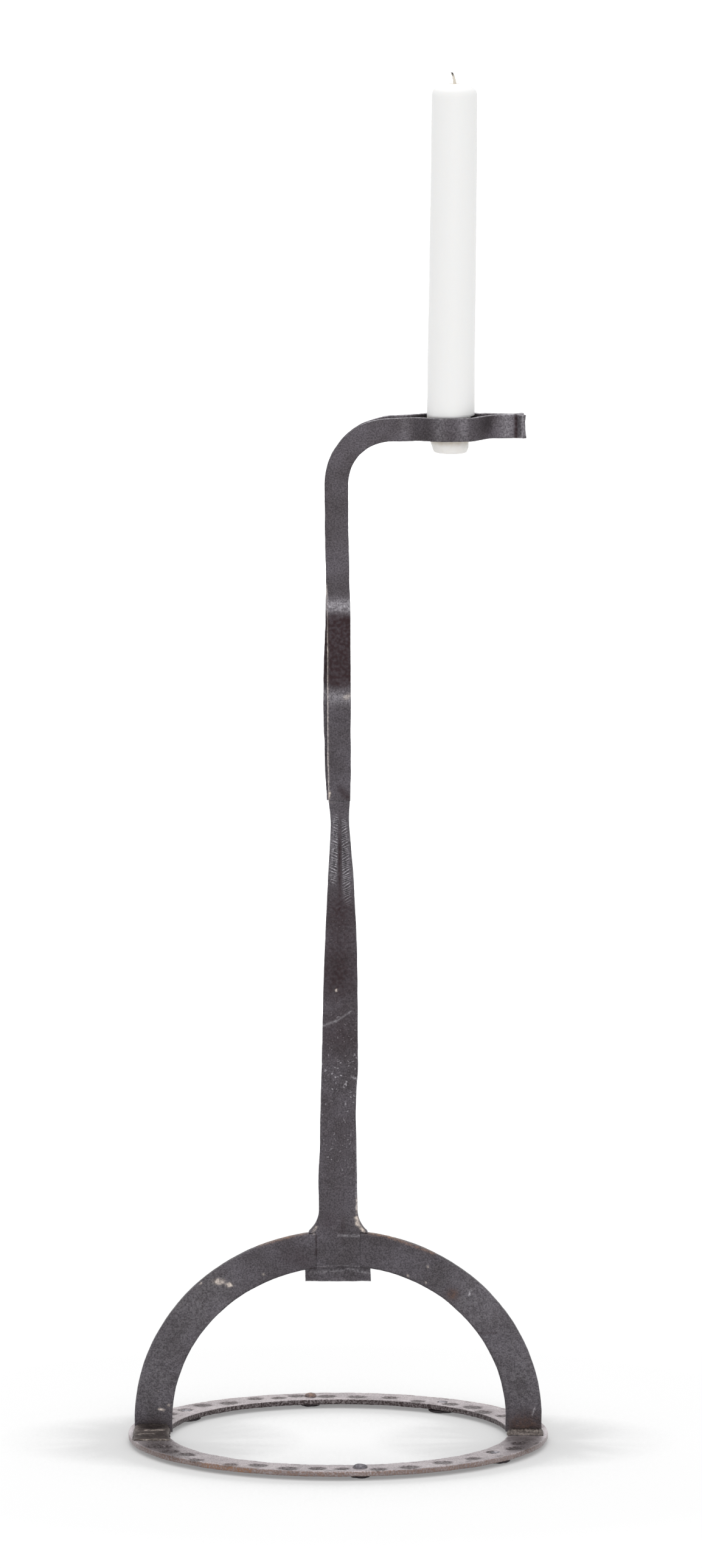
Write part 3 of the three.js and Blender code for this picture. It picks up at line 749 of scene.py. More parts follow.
# %% The heavy blows of the ball peen
# Angle in degrees and distance from the ring's middle in millimetres, in front, behind, at the sides.
FRONT_BLOWS = [(219, 96.5), (226.5, 102), (238.5, 102), (246, 97), (255.7, 100), (264, 97), (271, 98),
               (281.4, 101), (290.8, 100), (302.5, 96.6), (313.4, 98), (325, 94)]
BACK_BLOWS = [(142.7, 97), (134, 98), (125.5, 95), (115.4, 98), (108.5, 95), (102.4, 98), (93.6, 95),
              (84, 94), (74, 95), (63.7, 91), (52.5, 93), (43.8, 94), (35.9, 90)]
SIDE_BLOWS = [(151, 97), (158, 93), (205, 96), (212, 99), (333, 98), (341, 95), (27, 93), (19, 97)]
BLOW_HALF_LENGTH = 5.0
BLOW_HALF_BREADTH = 4.3
BLOW_DEPTH = 0.6
BLOW_STAIN = 0.9


def heavy_blows(piece, blows):
    """Sinks oval dents into the upper face and stains them with scale."""
    points = points_of(piece)
    on_top = np.clip((points[:, 2] - RING_TOP + 1.2) / 0.5, 0, 1)
    stain = np.zeros(len(points))
    sunk = np.zeros(len(points))
    for number, (angle, reach) in enumerate(blows):
        turn = math.radians(angle)
        out = np.array([math.cos(turn), math.sin(turn)])
        away = points[:, :2] - reach * out
        size = 1 + 0.14 * math.sin(5 * number)
        ragged_rim = 1 + 0.1 * np.sin(points[:, 0] * 1.3 + points[:, 1] * 2.1 + number)
        along = np.array([-out[1], out[0]])
        off = np.hypot(away @ out / BLOW_HALF_BREADTH, away @ along / BLOW_HALF_LENGTH)
        off = off * ragged_rim / size
        sunk = np.maximum(sunk, np.clip(1 - off ** 2, 0, 1) ** 0.8)
        stain = np.maximum(stain, np.clip((1.02 - off) / 0.22, 0, 1))
    points[:, 2] -= BLOW_DEPTH * sunk * on_top
    move_points(piece, points)
    store(piece, "scale", BLOW_STAIN * stain * on_top)


deep_blows = FRONT_BLOWS + BACK_BLOWS + SIDE_BLOWS
heavy_blows(base_ring, deep_blows)
print("heavy blows on the ring:", len(deep_blows))

# %% [markdown]
# ## Bare, burnt and rusty places on the ring
#
# The face of the ring is rubbed bright, but its walls were never touched after the fire: the
# inner wall is dark scale, and the outer wall is scale going over to brown rust. The direction that
# a point faces tells the face from the walls. The places next to the welds are burnt darker.

# %% Worn and burnt places on the ring
INNER_WALL_WITHIN = 90
OUTER_WALL_BEYOND = 100
SOLE_Z = 2.2
ring_points = points_of(base_ring)
radius = np.hypot(ring_points[:, 0], ring_points[:, 1])
top_face = np.clip((upwards(base_ring) - 0.35) / 0.3, 0, 1)
to_side = np.abs(ring_points[:, 0]) / radius
behind = np.clip(ring_points[:, 1] / 60, 0, 1)
walls = 1 - top_face
inner_wall = walls * (radius < INNER_WALL_WITHIN)
outer_wall = walls * (radius > OUTER_WALL_BEYOND) * (1 - 0.7 * to_side ** 6)
outer_edge = np.exp(-((radius - RING_R + 0.4) / 0.7) ** 2)
store(base_ring, "scale", 0.95 * inner_wall + 0.5 * outer_wall)
store(base_ring, "rust", 0.45 * outer_wall + 0.5 * outer_edge * behind)
marks(base_ring, "rust", [((-63, -84, 3), (-47, -94, 3), (5, 5, 1.5), 0.7)])
# The two lighter patches on the outer rim at the left and right ends are painted highlights.
marks(base_ring, "rubbed", [
    ((-104.5, -14, 4.5), (-104.5, 10, 4.5), (1.6, 9, 3), 0.8),
    ((103.5, -14, 4.5), (104.5, 4, 4.5), (1.6, 9, 3), 0.8),
])
marks(base_ring, "scale", [
    ((94, -22, 5), (92, -46, 5), (8, 9, 2), 0.75), ((-88, -43, 5), (-82, -62, 5), (8, 9, 2), 0.75),
    ((-93, -12, 5), (-90, -34, 5), (9, 9, 2), 0.7), ((93, 14, 5), (90, 34, 5), (8, 8, 2), 0.5),
    ((-93, 14, 5), (-90, 36, 5), (8, 8, 2), 0.55), ((80, -54, 5), (86, -34, 5), (2, 3, 2), -0.7),
])
foot_height = points_of(foot_rivets)[:, 2]
store(foot_rivets, "scale", 0.6 * np.clip((SOLE_Z - foot_height) / 0.4, 0, 1))
store(foot_rivets, "rubbed", 0.8 * np.clip((foot_height - RING_TOP + 1.2) / 0.4, 0, 1))
for place in foot_places(*DOMED):
    marks(foot_rivets, "rubbed", [((*place[:2], 4.5), (*place[:2], 5.8), (5, 5, 1.2), -0.8)])
marks(foot_rivets, "rust", [((-14, 94, 6), (-14, 94, 6), (5, 5, 3), 0.8)])
finish_piece(base_ring, "stand", "worn_forged_iron", "base_ring")
finish_piece(foot_rivets, "stand", "worn_forged_iron", *DOMED, *FLUSH)

# %% [markdown]
# ## The arch
#
# The arch is flat bar bent on edge into a half ellipse with two short straight legs. Its line is
# a formula, and the section stays level with the line all the way, so it is a loft in plain code:
# that also lets the bevel that the smith filed on the inside of the right leg fade out upwards.
# The face is let in at the crown, where the tongue of the stem lies.

# %% Arch as a loft along its line
arch_low, arch_high = cad("arch")
FOOT_WIDTH = 18.2
CROWN_WIDTH = 17.3
ARCH_SPRING_Z = 11.4
ARCH_EDGE = 0.8
ARCH_STEP = 0.7
# The bar came out a little heavier on its inner side from the left foot to the crown, and the
# whole arch leans a little to the right as it rises.
HEAVY = 0.85
HEAVY_FROM, HEAVY_TO = 28.0, -6.0
ARCH_LEAN = 0.003
ARCH_SPAN = float(arch_high[0]) - FOOT_WIDTH / 2
ARCH_RISE = float(arch_high[2]) - CROWN_WIDTH / 2 - ARCH_SPRING_Z
ARCH_FACE = float(arch_low[1])
# The bevel filed on the inside of the right leg: its width at heights above the floor.
BEVEL_HEIGHTS = [8, 40, 75]
BEVEL_WIDTHS = [2.1, 1.2, 0]


def filed(section, corner, width, depth):
    """Takes a flat off one corner of a section: width across the bar and depth through it."""
    across, through = corner
    flat_normal = np.array([np.sign(across) * depth, np.sign(through) * width])
    flat_normal /= np.hypot(*flat_normal)
    start = np.array([across - np.sign(across) * width, through])
    over = np.maximum((section - start) @ flat_normal, 0)
    return section - over[:, None] * flat_normal


def arch_rings(margin=0.0, half_thick=-ARCH_FACE, across_steps=26, through_steps=7):
    """Sections of the arch from its right foot over the crown to its left one."""
    over = np.linspace(0, math.pi, round(math.pi * ARCH_SPAN / ARCH_STEP))
    legs = np.arange(RING_TOP - margin, ARCH_SPRING_Z, ARCH_STEP)
    rings = []
    for side, heights in ((1, legs), (0, None), (-1, legs[::-1])):
        if side:
            line = [((side * ARCH_SPAN, 0, z), (side, 0, 0), FOOT_WIDTH) for z in heights]
        else:
            line = []
            for turn in over:
                centre = (ARCH_SPAN * math.cos(turn), 0, ARCH_SPRING_Z + ARCH_RISE * math.sin(turn))
                out = np.array([ARCH_RISE * math.cos(turn), 0, ARCH_SPAN * math.sin(turn)])
                width = FOOT_WIDTH + (CROWN_WIDTH - FOOT_WIDTH) * math.sin(turn) ** 2
                line.append((centre, out / np.linalg.norm(out), width))
        for centre, out, width in line:
            shape = bar_section(width / 2 + margin, half_thick, ARCH_EDGE, across_steps, through_steps)
            heavy = HEAVY * np.interp(centre[0], [HEAVY_TO, HEAVY_FROM], [1, 0])
            shape[:, 0] -= heavy * (shape[:, 0] < 0)
            bevel = np.interp(centre[2], BEVEL_HEIGHTS, BEVEL_WIDTHS) if centre[0] > 0 else 0
            if bevel and not margin:
                shape = filed(shape, (-width / 2, ARCH_FACE), bevel, 0.8 * bevel)
            leant_by = ARCH_LEAN * (centre[2] - RING_TOP)
            rings.append(placed(shape, centre, out, (0, 1, 0)) + (leant_by, 0, 0))
    return rings


BAR_SKIN = dict(facet_size=12, facet_depth=0.2, pit_size=2.3, pit_depth=0.09, seed=7.0)
arch = forge(loft("forged_arch", arch_rings()), blackened_iron, edge_wear=0.2, **BAR_SKIN)
print("arch box:", points_of(arch).min(0).round(2), points_of(arch).max(0).round(2))

# %% [markdown]
# ## The crown joint
#
# The stem is not simply welded on top of the arch. Its end is thinned to a tongue that lies in
# the face of the arch, its shoulders spread over the arch's edge, and a small plate backs the joint.
# Two rivets go through all three. The seams are hairlines in the real thing, so the neighbours are
# cut by each other with exact booleans and a gap of a few hundredths of a millimetre. The skin is
# hammered before the cuts, with one seed for all, so the faces stay level across the seams. The
# tongue's end follows the underside of the arch, whose height is read off the arch's own sections.

# %% Cut the seat for the tongue
TONGUE_HALF_W = 11.0
TONGUE_THICK = 2.2
TONGUE_BOTTOM = 88.0
TONGUE_SQUARE = 96.0
TONGUE_INSET = 0.2
SEAT_LOW, SEAT_HIGH = 80.0, 130.0
SEAM = 0.03
RIVET_X = 4.5
RIVET_Z = 98.9
RIVET_R = 2.0
CROWN_PLACES = [(-RIVET_X, 0, RIVET_Z), (RIVET_X, 0, RIVET_Z)]
TO_BACK = math.radians(-90)


def block(low, high):
    """A plain block, used only as a cutting tool."""
    corners = [[(low[0], high[0])[i], (low[1], high[1])[j], (low[2], high[2])[k]]
               for i in (0, 1) for j in (0, 1) for k in (0, 1)]
    faces = [(0, 1, 3, 2), (4, 6, 7, 5), (0, 4, 5, 1), (2, 3, 7, 6), (0, 2, 6, 4), (1, 5, 7, 3)]
    return mesh_piece("block", corners, faces)


def rivet_drill():
    """Two round pins on the lines of the crown rivets."""
    bore = RIVET_R + SEAM / 2
    pin = turned("pin", [(0, -20), (bore, -20), (bore, 20), (0, 20)])
    return rivets("drill", pin, CROWN_PLACES, turn=TO_BACK)


tongue_back = ARCH_FACE + TONGUE_THICK
seat = block((-TONGUE_HALF_W - SEAM, -9, SEAT_LOW), (TONGUE_HALF_W + SEAM, tongue_back, SEAT_HIGH))
crown = [ring[ring[:, 2].argmin()] for ring in arch_rings() if ring[:, 2].min() > SEAT_LOW]
underside = np.array(sorted((float(x), float(z)) for x, _, z in crown))
cut(arch, seat, rivet_drill())
print("arch after cutting:", len(arch.data.polygons), "faces")

# %% [markdown]
# ## Marks on the arch
#
# Small things make old iron look real: two cream spots of weld flux, a few scratches, a burnt patch
# that went rusty, brown rust along the upper edge. Each is one entry in a list: a spot or a line
# on the face, how far it reaches and how strong it is. A negative strength rubs a mark away.

# %% Spots and lines on the arch's face
THIN = 1.6


def spot(x, z, reach, strength, tall=1.0):
    """A spot on a front face, with its reach in millimetres."""
    return ((x, ARCH_FACE, z), (x, ARCH_FACE, z), (reach, THIN, reach * tall), strength)


def line(start, end, reach, strength):
    """A line on a front face between two (x, z) points."""
    first, last = (start[0], ARCH_FACE, start[1]), (end[0], ARCH_FACE, end[1])
    return (first, last, (reach, THIN, reach), strength)


def edge_line(start, end, strength):
    """A line on the upper edge of the arch between two (x, z) points."""
    return ((start[0], 0, start[1]), (end[0], 0, end[1]), (1.5, 4, 0.6), strength)


marks(arch, "flux", [
    spot(-59.6, 81.3, 1.9, 1.6, 0.55), spot(-54.4, 79.6, 1.3, 1.5, 0.6), spot(-37.4, 85, 0.5, 0.9),
    spot(-68.7, 80.4, 0.45, 0.8), spot(34.8, 84.4, 0.45, 0.9), spot(43.7, 80.9, 0.45, 0.8),
    spot(44.7, 88.8, 0.5, 0.6), spot(-4.2, 90.8, 0.5, 0.8), spot(1.3, 90.8, 0.6, 1.0),
    spot(-84.9, 18.4, 0.5, 1.0), line((-89.6, 16.6), (-87, 16.1), 0.4, 0.9), spot(-90.4, 25.9, 0.4, 0.6),
    line((-12.3, 106), (-11.4, 107.4), 0.6, 1.0),
])
marks(arch, "rubbed", [
    line((66.3, 77.2), (65.4, 74.1), 0.4, 0.9), line((98.3, 16.9), (97.1, 13.2), 0.35, 0.9),
    spot(-91, 30, 22, 0.16), spot(92, 32, 22, 0.16), spot(70, 72, 22, 0.14), spot(-70, 72, 22, 0.16),
])
marks(arch, "rust", [
    spot(57.2, 75, 2.3, 0.35), spot(93, 8, 8, 0.2, 0.7),
    edge_line((-40, 99.3), (-26, 103.7), 0.6), edge_line((-26, 103.7), (-15, 106.1), 0.6),
    edge_line((15, 106.1), (26, 103.7), 0.7), edge_line((26, 103.7), (48, 95.5), 0.6),
])
marks(arch, "scale", [
    spot(57.2, 75, 3.2, 0.8), spot(-24, 95, 6, 0.3), spot(-17, 91.5, 5, 0.35), spot(93, 8, 11, 0.7, 0.7),
    spot(-93, 6, 10, 0.9, 0.5), line((69.7, 55.2), (79.4, 55.2), 0.4, 0.6),
    # These two dark lines by the crown are a painted shadow in the gap under the arch.
    line((-14, 87.7), (-11, 88), 0.4, 1.0), line((11, 88.3), (13.5, 88), 0.4, 1.0),
    line((-11.1, 94.8), (-11.1, 97.5), 0.4, 0.7), line((-11.1, 99.6), (-11.2, 104.5), 0.35, 0.6),
])
finish_piece(arch, "stand", "forged_iron", "arch")

# %% [markdown]
# ## The stem
#
# One bar, drawn out to a taper under the hammer: widest at its shoulders, thinnest at the neck,
# where the cut that splits it into two strips begins. A loft through a few stations gives its
# waver, and the notched ridges at the neck, where the edge of a chisel walked up the bar, are
# pushed into the loft's front face by a formula.

# %% Stem as a loft with chisel marks
STEM_RISE = 0.27
STEM_TOP = float(cad("stem")[1][2]) + STEM_RISE
FLARE_R = 14.7
FLARE_TOP = 117.5
FLARE_HALF_W = 14.8
SHOULDER_Z = 105.2
# Stations up the bar as (height, value): half width, sideways drift, half thickness, edge radius.
HALF_WIDTH = [(117.5, 9.75), (132.4, 9.75), (150.9, 9.2), (163, 8.95), (175.5, 8.95), (187.8, 9.15),
              (212.4, 8.85), (237, 8.5), (249.3, 8.1), (267.7, 7.4), (280, 6.77), (292.2, 6.04),
              (304.5, 5.15), (315.2, 4.55), (324, 5.38)]
DRIFT = [(91, 0), (117.5, 0), (132.4, -0.25), (150.9, 0), (163, -0.07), (175.5, 0.23), (187.8, 0.83),
         (212.4, 1.03), (237, 1.25), (249.3, 1.39), (267.7, 1.41), (280, 1.44), (292.2, 1.26),
         (304.5, 1.08), (315.2, 0.84), (324, 0.55)]
HALF_THICK = [(181, 2.5), (237.6, 2.7), (273.2, 2.9), (304.8, 3.1), (324, 3.15)]
STEM_EDGE = [(106, 0.2), (110, 0.8), (240, 1.0), (285, 1.9), (312, 1.8), (324, 0.6)]
# Ridges of chisel marks: (x, z) at the foot and the head of each row.
RIDGES = [((-2.67, 281), (-0.63, 318)), ((4.9, 270), (2.1, 316))]
RIDGE_PITCH = 1.15
RIDGE_WIDTH = 1.5
RIDGE_RISE = 0.45
RIDGE_SINK = 0.25
GROOVE = ((1.0, 276), (0.7, 317))
GROOVE_WIDTH = 0.7
GROOVE_DEPTH = 0.3


def along_row(points, row):
    """Distance across a row of marks, and 1 along the row, fading to 0 past its ends."""
    (foot_x, foot_z), (head_x, head_z) = row
    middle = np.interp(points[:, 2], [foot_z, head_z], [foot_x, head_x])
    fade = np.clip((points[:, 2] - foot_z) / 8, 0, 1) * np.clip((head_z - points[:, 2]) / 5, 0, 1)
    return points[:, 0] - middle, fade


def chisel_marks(points):
    """How far the neck's ridges stand out of a point's place, in millimetres, on the front face."""
    total = np.zeros(len(points))
    for number, row in enumerate(RIDGES):
        off, fade = along_row(points, row)
        slant = points[:, 2] + (0.35, -0.45)[number] * off + 0.4 * np.sin(points[:, 2] * 0.9 + number)
        notch = 0.5 + 0.5 * np.cos(2 * math.pi * slant / RIDGE_PITCH)
        total += fade * np.exp(-(off / RIDGE_WIDTH) ** 2) * (RIDGE_RISE * notch - RIDGE_SINK)
    off, fade = along_row(points, GROOVE)
    return total - GROOVE_DEPTH * fade * np.exp(-(off / GROOVE_WIDTH) ** 2)


def stem_section(z):
    """The stem's section at a height."""
    if z >= FLARE_TOP:
        half = float(blended(z, HALF_WIDTH, min(8, 2 * (z - FLARE_TOP), 2 * (STEM_TOP - z))))
    else:
        drop = min(FLARE_TOP - z, FLARE_R - 0.01)
        half = min(HALF_WIDTH[0][1] + FLARE_R - math.sqrt(FLARE_R ** 2 - drop ** 2), FLARE_HALF_W)
    if z < SHOULDER_Z:
        half = TONGUE_HALF_W
    deep = float(blended(z, HALF_THICK, 8))
    shape = bar_section(half, deep, float(blended(z, STEM_EDGE)), 34, 7)
    light_side = float(np.interp(z, [112, 120, 176, 190], [0, 1.0, 1.0, 0]))
    if light_side:
        shape = filed(shape, (half, -deep), light_side, 0.8)
    drift = 0.0 if z < SHOULDER_Z else float(blended(z, DRIFT, 10))
    ring = placed(shape, (drift, 0, z), (1, 0, 0), (0, 1, 0))
    front = np.clip((-ring[:, 1] - deep + 0.9) / 0.5, 0, 1)
    ring[:, 1] -= front * chisel_marks(ring)
    curved = np.clip((TONGUE_SQUARE - z) / (TONGUE_SQUARE - TONGUE_BOTTOM), 0, 1)
    arch_end = np.interp(ring[:, 0], underside[:, 0], underside[:, 1]) + TONGUE_INSET
    ring[:, 2] += curved * (arch_end - TONGUE_BOTTOM)
    return ring


NECK_Z = 266.0
BAR_STEP, NECK_STEP = 0.65, 0.28
RIDGE_SHINE = 11
heights = np.concatenate([np.arange(TONGUE_BOTTOM, NECK_Z, BAR_STEP),
                          np.arange(NECK_Z, STEM_TOP - 0.15, NECK_STEP), [STEM_TOP]])
stem = loft("tapered_stem", [stem_section(z) for z in heights])
neck = points_of(stem)
ridge_light = np.clip(chisel_marks(neck) * RIDGE_SHINE, 0, 1) * (neck[:, 1] < -1.5)
forge(stem, blackened_iron, edge_wear=0.55, **BAR_SKIN)
store(stem, "rubbed", ridge_light)
lapped = loft("arch_tool", arch_rings(SEAM, 12, 4, 2))
cut(lapped, block((-TONGUE_HALF_W, -30, SEAT_LOW), (TONGUE_HALF_W, tongue_back, SEAT_HIGH)))
cut(stem, lapped, rivet_drill())
print("stem box:", points_of(stem).min(0).round(2), points_of(stem).max(0).round(2))

# %% [markdown]
# ## Marks on the stem
#
# A pale line runs down the right shoulder, a long scratch crosses the face, and the bar is darker
# where it lay in the fire longest. A fifth kind of mark, flaky, lets only the heights of the flake
# pattern shine, so a wide soft spot of it scatters bright flecks over the lower half.

# %% Spots and lines on the stem's face
marks(stem, "flux", [
    # The first three lines are pale lines down the right shoulder.
    line((9.3, 124), (9.3, 116), 0.35, 0.6), line((9.2, 113.5), (9.8, 110.5), 0.9, 1.0),
    line((9.8, 110.5), (12.9, 106.9), 0.6, 1.0), line((-12.3, 106.9), (-11.2, 109), 0.45, 0.7),
    spot(-0.9, 228.7, 0.45, 1.2), spot(-3.8, 325, 1.2, 0.5),
])
marks(stem, "rubbed", [
    line((-7.2, 210.9), (-1, 213.2), 0.5, 1.0), line((-1, 213.2), (6.4, 218), 0.4, 0.8),
    line((0, 104.6), (11, 104.6), 0.35, 0.8), line((9.2, 118), (9.5, 184), 0.5, 0.7),
    line((6.6, 185.2), (8.6, 184), 0.4, 0.8),
])
marks(stem, "scale", [
    spot(0, 130, 16, 0.12, 1.4), spot(0, 162, 16, 0.16), spot(0, 206, 13, 0.6),
    spot(0, 232, 12, 0.5), spot(0, 250, 14, 0.65, 1.4), spot(1, 271, 10, 0.6, 1.1),
    # The dark line along the tongue's lower end is a painted shadow in the gap under the arch.
    line((-11, 88), (0, 88.7), 0.4, 1.0), line((0, 88.7), (11, 88.3), 0.4, 1.0),
    spot(2.3, 109, 1.2, 0.4, 4), spot(-5, 112, 5, 0.35), spot(0.8, 296, 0.8, 0.9, 22),
    line((-10.9, 94.8), (-10.9, 97.5), 0.4, 0.7), line((-10.9, 99.6), (-10.9, 104.5), 0.35, 0.6),
])
marks(stem, "flaky", [
    spot(0, 205, 14, 0.9), spot(0, 180, 14, 0.7), spot(0, 150, 14, 0.6), spot(0, 262, 12, 0.6),
])
finish_piece(stem, "stand", "forged_iron", "stem")

# %% [markdown]
# ## Plate and rivets at the back of the crown
#
# A scrap of bar backs the joint, sheared off a little askew, so its right end leans. The rivets are
# turned like the feet, but lie flat: the tree that puts blanks on points also turns them over.

# %% Plate behind the crown and the rivets through it
plate_low, plate_high = cad("back_plate")
PLATE_OVERHANG = 0.5
PLATE_HALF_W = float(plate_high[0]) + PLATE_OVERHANG
PLATE_LEAN = 1.3
PLATE_GAP = 0.02
near, far = -ARCH_FACE + PLATE_GAP, float(plate_high[1])
rings = []
for z in np.arange(plate_low[2], plate_high[2] + 0.01, 0.5):
    share = (plate_high[2] - z) / (plate_high[2] - plate_low[2])
    right = PLATE_HALF_W - PLATE_LEAN * (1 - share)
    shape = bar_section((PLATE_HALF_W + right) / 2, (far - near) / 2, 0.45, 44, 6)
    rings.append(placed(shape, ((right - PLATE_HALF_W) / 2, (near + far) / 2, z), (1, 0, 0), (0, 1, 0)))
plate = forge(loft("back_plate_forged", rings), blackened_iron, facet_size=7, facet_depth=0.25,
              pit_size=1.6, pit_depth=0.12, edge_wear=0.3, seed=9.0)
cut(plate, rivet_drill())
marks(plate, "rubbed", [
    ((-13, near, 85), (2, near, 86), (1.2, 1.5, 0.7), 0.2),
    ((5, near, 87), (15, near, 84.8), (0.9, 1.5, 0.6), 0.35),
])
HEAD_R = 3.6
HEAD_RISE = 1.8
profile = [(0, ARCH_FACE), (RIVET_R, ARCH_FACE), (RIVET_R, far), *arc_profile(HEAD_R, HEAD_RISE, far)]
crown_rivets = rivets("crown_rivets", turned("blank", profile), CROWN_PLACES, turn=TO_BACK)
forge(crown_rivets, blackened_iron, edge_wear=0.0, **BAR_SKIN)
finish_piece(plate, "stand", "forged_iron", "back_plate")
finish_piece(crown_rivets, "stand", "forged_iron", "crown_rivet_left", "crown_rivet_right")

# %% [markdown]
# ## Welds at the feet of the arch
#
# The arch is welded to the ring along the front of each foot. The left weld was ground back to
# a long slope that still shows an oval blow and two pale streaks. The right one is a rough low bead.
# Each is a short loft across the ring, whose height above the ring is a curve from back to front,
# with the ripples of the bead along it.

# %% Weld fillets
WELD_SPILL_LEFT, WELD_SPILL_RIGHT = 0.9, 0.7
WELD_END = 3.0
WELD_ROOT = 0.1
RIPPLE_PITCH = 1.7


def weld_fillet(name, node, height_at, ripple, seed):
    """A fillet over a packed weld's box; height_at gives its rise from back (0) to front (1)."""
    low, high = cad(node)
    low[0] -= WELD_SPILL_LEFT
    high[0] += WELD_SPILL_RIGHT
    root_z = RING_TOP - WELD_ROOT
    forward, backward = np.linspace(0, 1, 40), np.linspace(1, 0, 16)
    rings = []
    for x in np.arange(low[0], high[0], 0.4):
        inset = min(x - low[0], high[0] - x)
        round_end = math.sqrt(1 - (1 - min(inset / WELD_END, 1)) ** 2) * 0.85 + 0.15
        wave = 1 + ripple * math.sin(2 * math.pi * x / RIPPLE_PITCH + 0.8 * math.sin(x / 2))
        top = [(x, high[1] + (low[1] - high[1]) * s, RING_TOP + height_at(s) * round_end * wave)
               for s in forward]
        bottom = [(x, high[1] + (low[1] - high[1]) * s, root_z) for s in backward]
        rings.append(top + bottom)
    piece = loft(name, rings)
    return forge(piece, weld_metal, facet_size=3.5, facet_depth=0.4, pit_size=1.2, pit_depth=0.16,
                 edge_wear=0.0, seed=seed)


def ground_slope(share):
    """The left weld's rise: a long hollow slope."""
    return 0.8 + 3.7 * (1 - share) ** 2.1


def low_bead(share):
    """The right weld's rise: round on top and steep in front."""
    return 2.2 * math.sqrt(1.02 - share ** 3)


left_weld = weld_fillet("left_weld", "left_foot_weld", ground_slope, ripple=0.0, seed=11.0)
right_weld = weld_fillet("right_weld", "right_foot_weld", low_bead, ripple=0.07, seed=13.0)
marks(left_weld, "scale", [((-101, -18, 6), (-84, -18, 6), (6, 5, 5), 0.5),
                           ((-96, -6, 8), (-91, -6, 8), (3.4, 2.2, 1.6), 0.9)])
marks(left_weld, "flux", [((-96.3, -9.6, 7), (-87.4, -9, 7), (0.8, 0.6, 2), 0.5),
                          ((-99.7, -14.5, 6), (-92.4, -13.6, 6), (0.9, 0.7, 2), 0.4)])
marks(left_weld, "rubbed", [((-97, -24.2, 5.6), (-86, -24.2, 5.6), (2, 0.8, 1), 0.7)])
marks(right_weld, "flux", [((88, -7, 7), (99, -7, 7), (2, 2, 2), 0.3)])
for weld, node in ((left_weld, "left_foot_weld"), (right_weld, "right_foot_weld")):
    finish_piece(weld, "stand", "weld_metal", node)

# %% [markdown]
# ## The two spring strips
#
# The neck is slit, and the two halves are drawn out into flat strips. They bow apart a little over
# the slit, come together, bend over to the side and open round the candle like tweezers. Both
# follow one line in the plane of the bend, and stand off it to the front and to the back, so a
# loft takes the line, the distance between the strips at each place, and the side.

# %% Line of the strips and how far they stand apart
ROOT_X = 0.5
ROOT_Z = 324.0
STRIP_HALF_WIDTHS = [(3, 5.45), (11, 5.8), (20, 5.9)]
STRIP_THICK = 3.0
STRIP_GAP = 0.3
RISE_HEADING = math.radians(90.49)
ARM_HEADING = math.radians(1.2)
STRIP_RISE = 158.3
BEND_R = 28.0
BEND_LENGTH = BEND_R * (RISE_HEADING - ARM_HEADING)
ARM_START = STRIP_RISE + BEND_LENGTH
BOW = 4.5
BOW_START, BOW_PEAK, BOW_END = 6.0, 52.7, 97.9
KINK_SOFTNESS = 4.0
TIP_FLARE_X = 88.0
TIP_OPENING = 3.0
FRONT_TIP_X = 92.4

# Each strip on its own: its side, where its middle line ends, its half of the eye (gap, and the X
# between which it rises and falls), how far it strays sideways on the rise, and its lift on the arm.
# Above the bow the two lie on each other and stray as one.
SHARED_STRAYS = [(108, 0.31), (121, 0.13), (139, -0.11), (157, 0)]
FRONT_STRIP = {
    "side": -1, "tip_x": FRONT_TIP_X, "eye": (10.8, (35.5, 53), (64, 78)),
    "lifts": [(12, 0), (20, -0.45), (26, -0.6), (38, -0.45), (46, 0)],
    "strays": [(3, 0.19), (23, 0.23), (51, 0.44), (76, 0.54), (90, 0.63), (99, 0.45), *SHARED_STRAYS],
}
REAR_STRIP = {
    "side": 1, "tip_x": 91.6, "eye": (10.5, (36, 53), (59, 71)),
    "lifts": [(20, 0), (26, 0.3), (38, 0.8), (44, 0.5), (74, 0.5), (85, 0)],
    "strays": [(0, -0.7), (17, -1.09), (29, -1.35), (42, -1.65), (51, -1.64), (63, -1.5), (72, -1.04),
               (81, -0.57), (90, -0.23), (99, 0.02), *SHARED_STRAYS],
}


def strip_line(along):
    """X and Z of the strips' middle line and its heading, at distances along it."""
    rise = np.minimum(along, STRIP_RISE)
    heading = RISE_HEADING - np.clip(along - STRIP_RISE, 0, BEND_LENGTH) / BEND_R
    arm = np.maximum(along - ARM_START, 0)
    x = ROOT_X + rise * math.cos(RISE_HEADING) + arm * math.cos(ARM_HEADING)
    z = ROOT_Z + rise * math.sin(RISE_HEADING) + arm * math.sin(ARM_HEADING)
    x += BEND_R * (math.sin(RISE_HEADING) - np.sin(heading))
    z += BEND_R * (np.cos(heading) - math.cos(RISE_HEADING))
    return x, z, heading


def soft_ramp(value):
    """0 before a kink and a straight rise after it, with the kink rounded."""
    inside = (value + KINK_SOFTNESS) ** 2 / (4 * KINK_SOFTNESS)
    return np.where(value < -KINK_SOFTNESS, 0, np.where(value > KINK_SOFTNESS, value, inside))


def bow_shape(along):
    """The shallow bow above the neck: 0 at its ends and 1 at its peak."""
    up, down = 1 / (BOW_PEAK - BOW_START), 1 / (BOW_END - BOW_PEAK)
    shape = up * soft_ramp(along - BOW_START) - (up + down) * soft_ramp(along - BOW_PEAK)
    return shape + down * soft_ramp(along - BOW_END)


def soft_step(value, low, high):
    """0 below one value and 1 above another, with a smooth rise between them."""
    share = np.clip((value - low) / (high - low), 0, 1)
    return share * share * (3 - 2 * share)


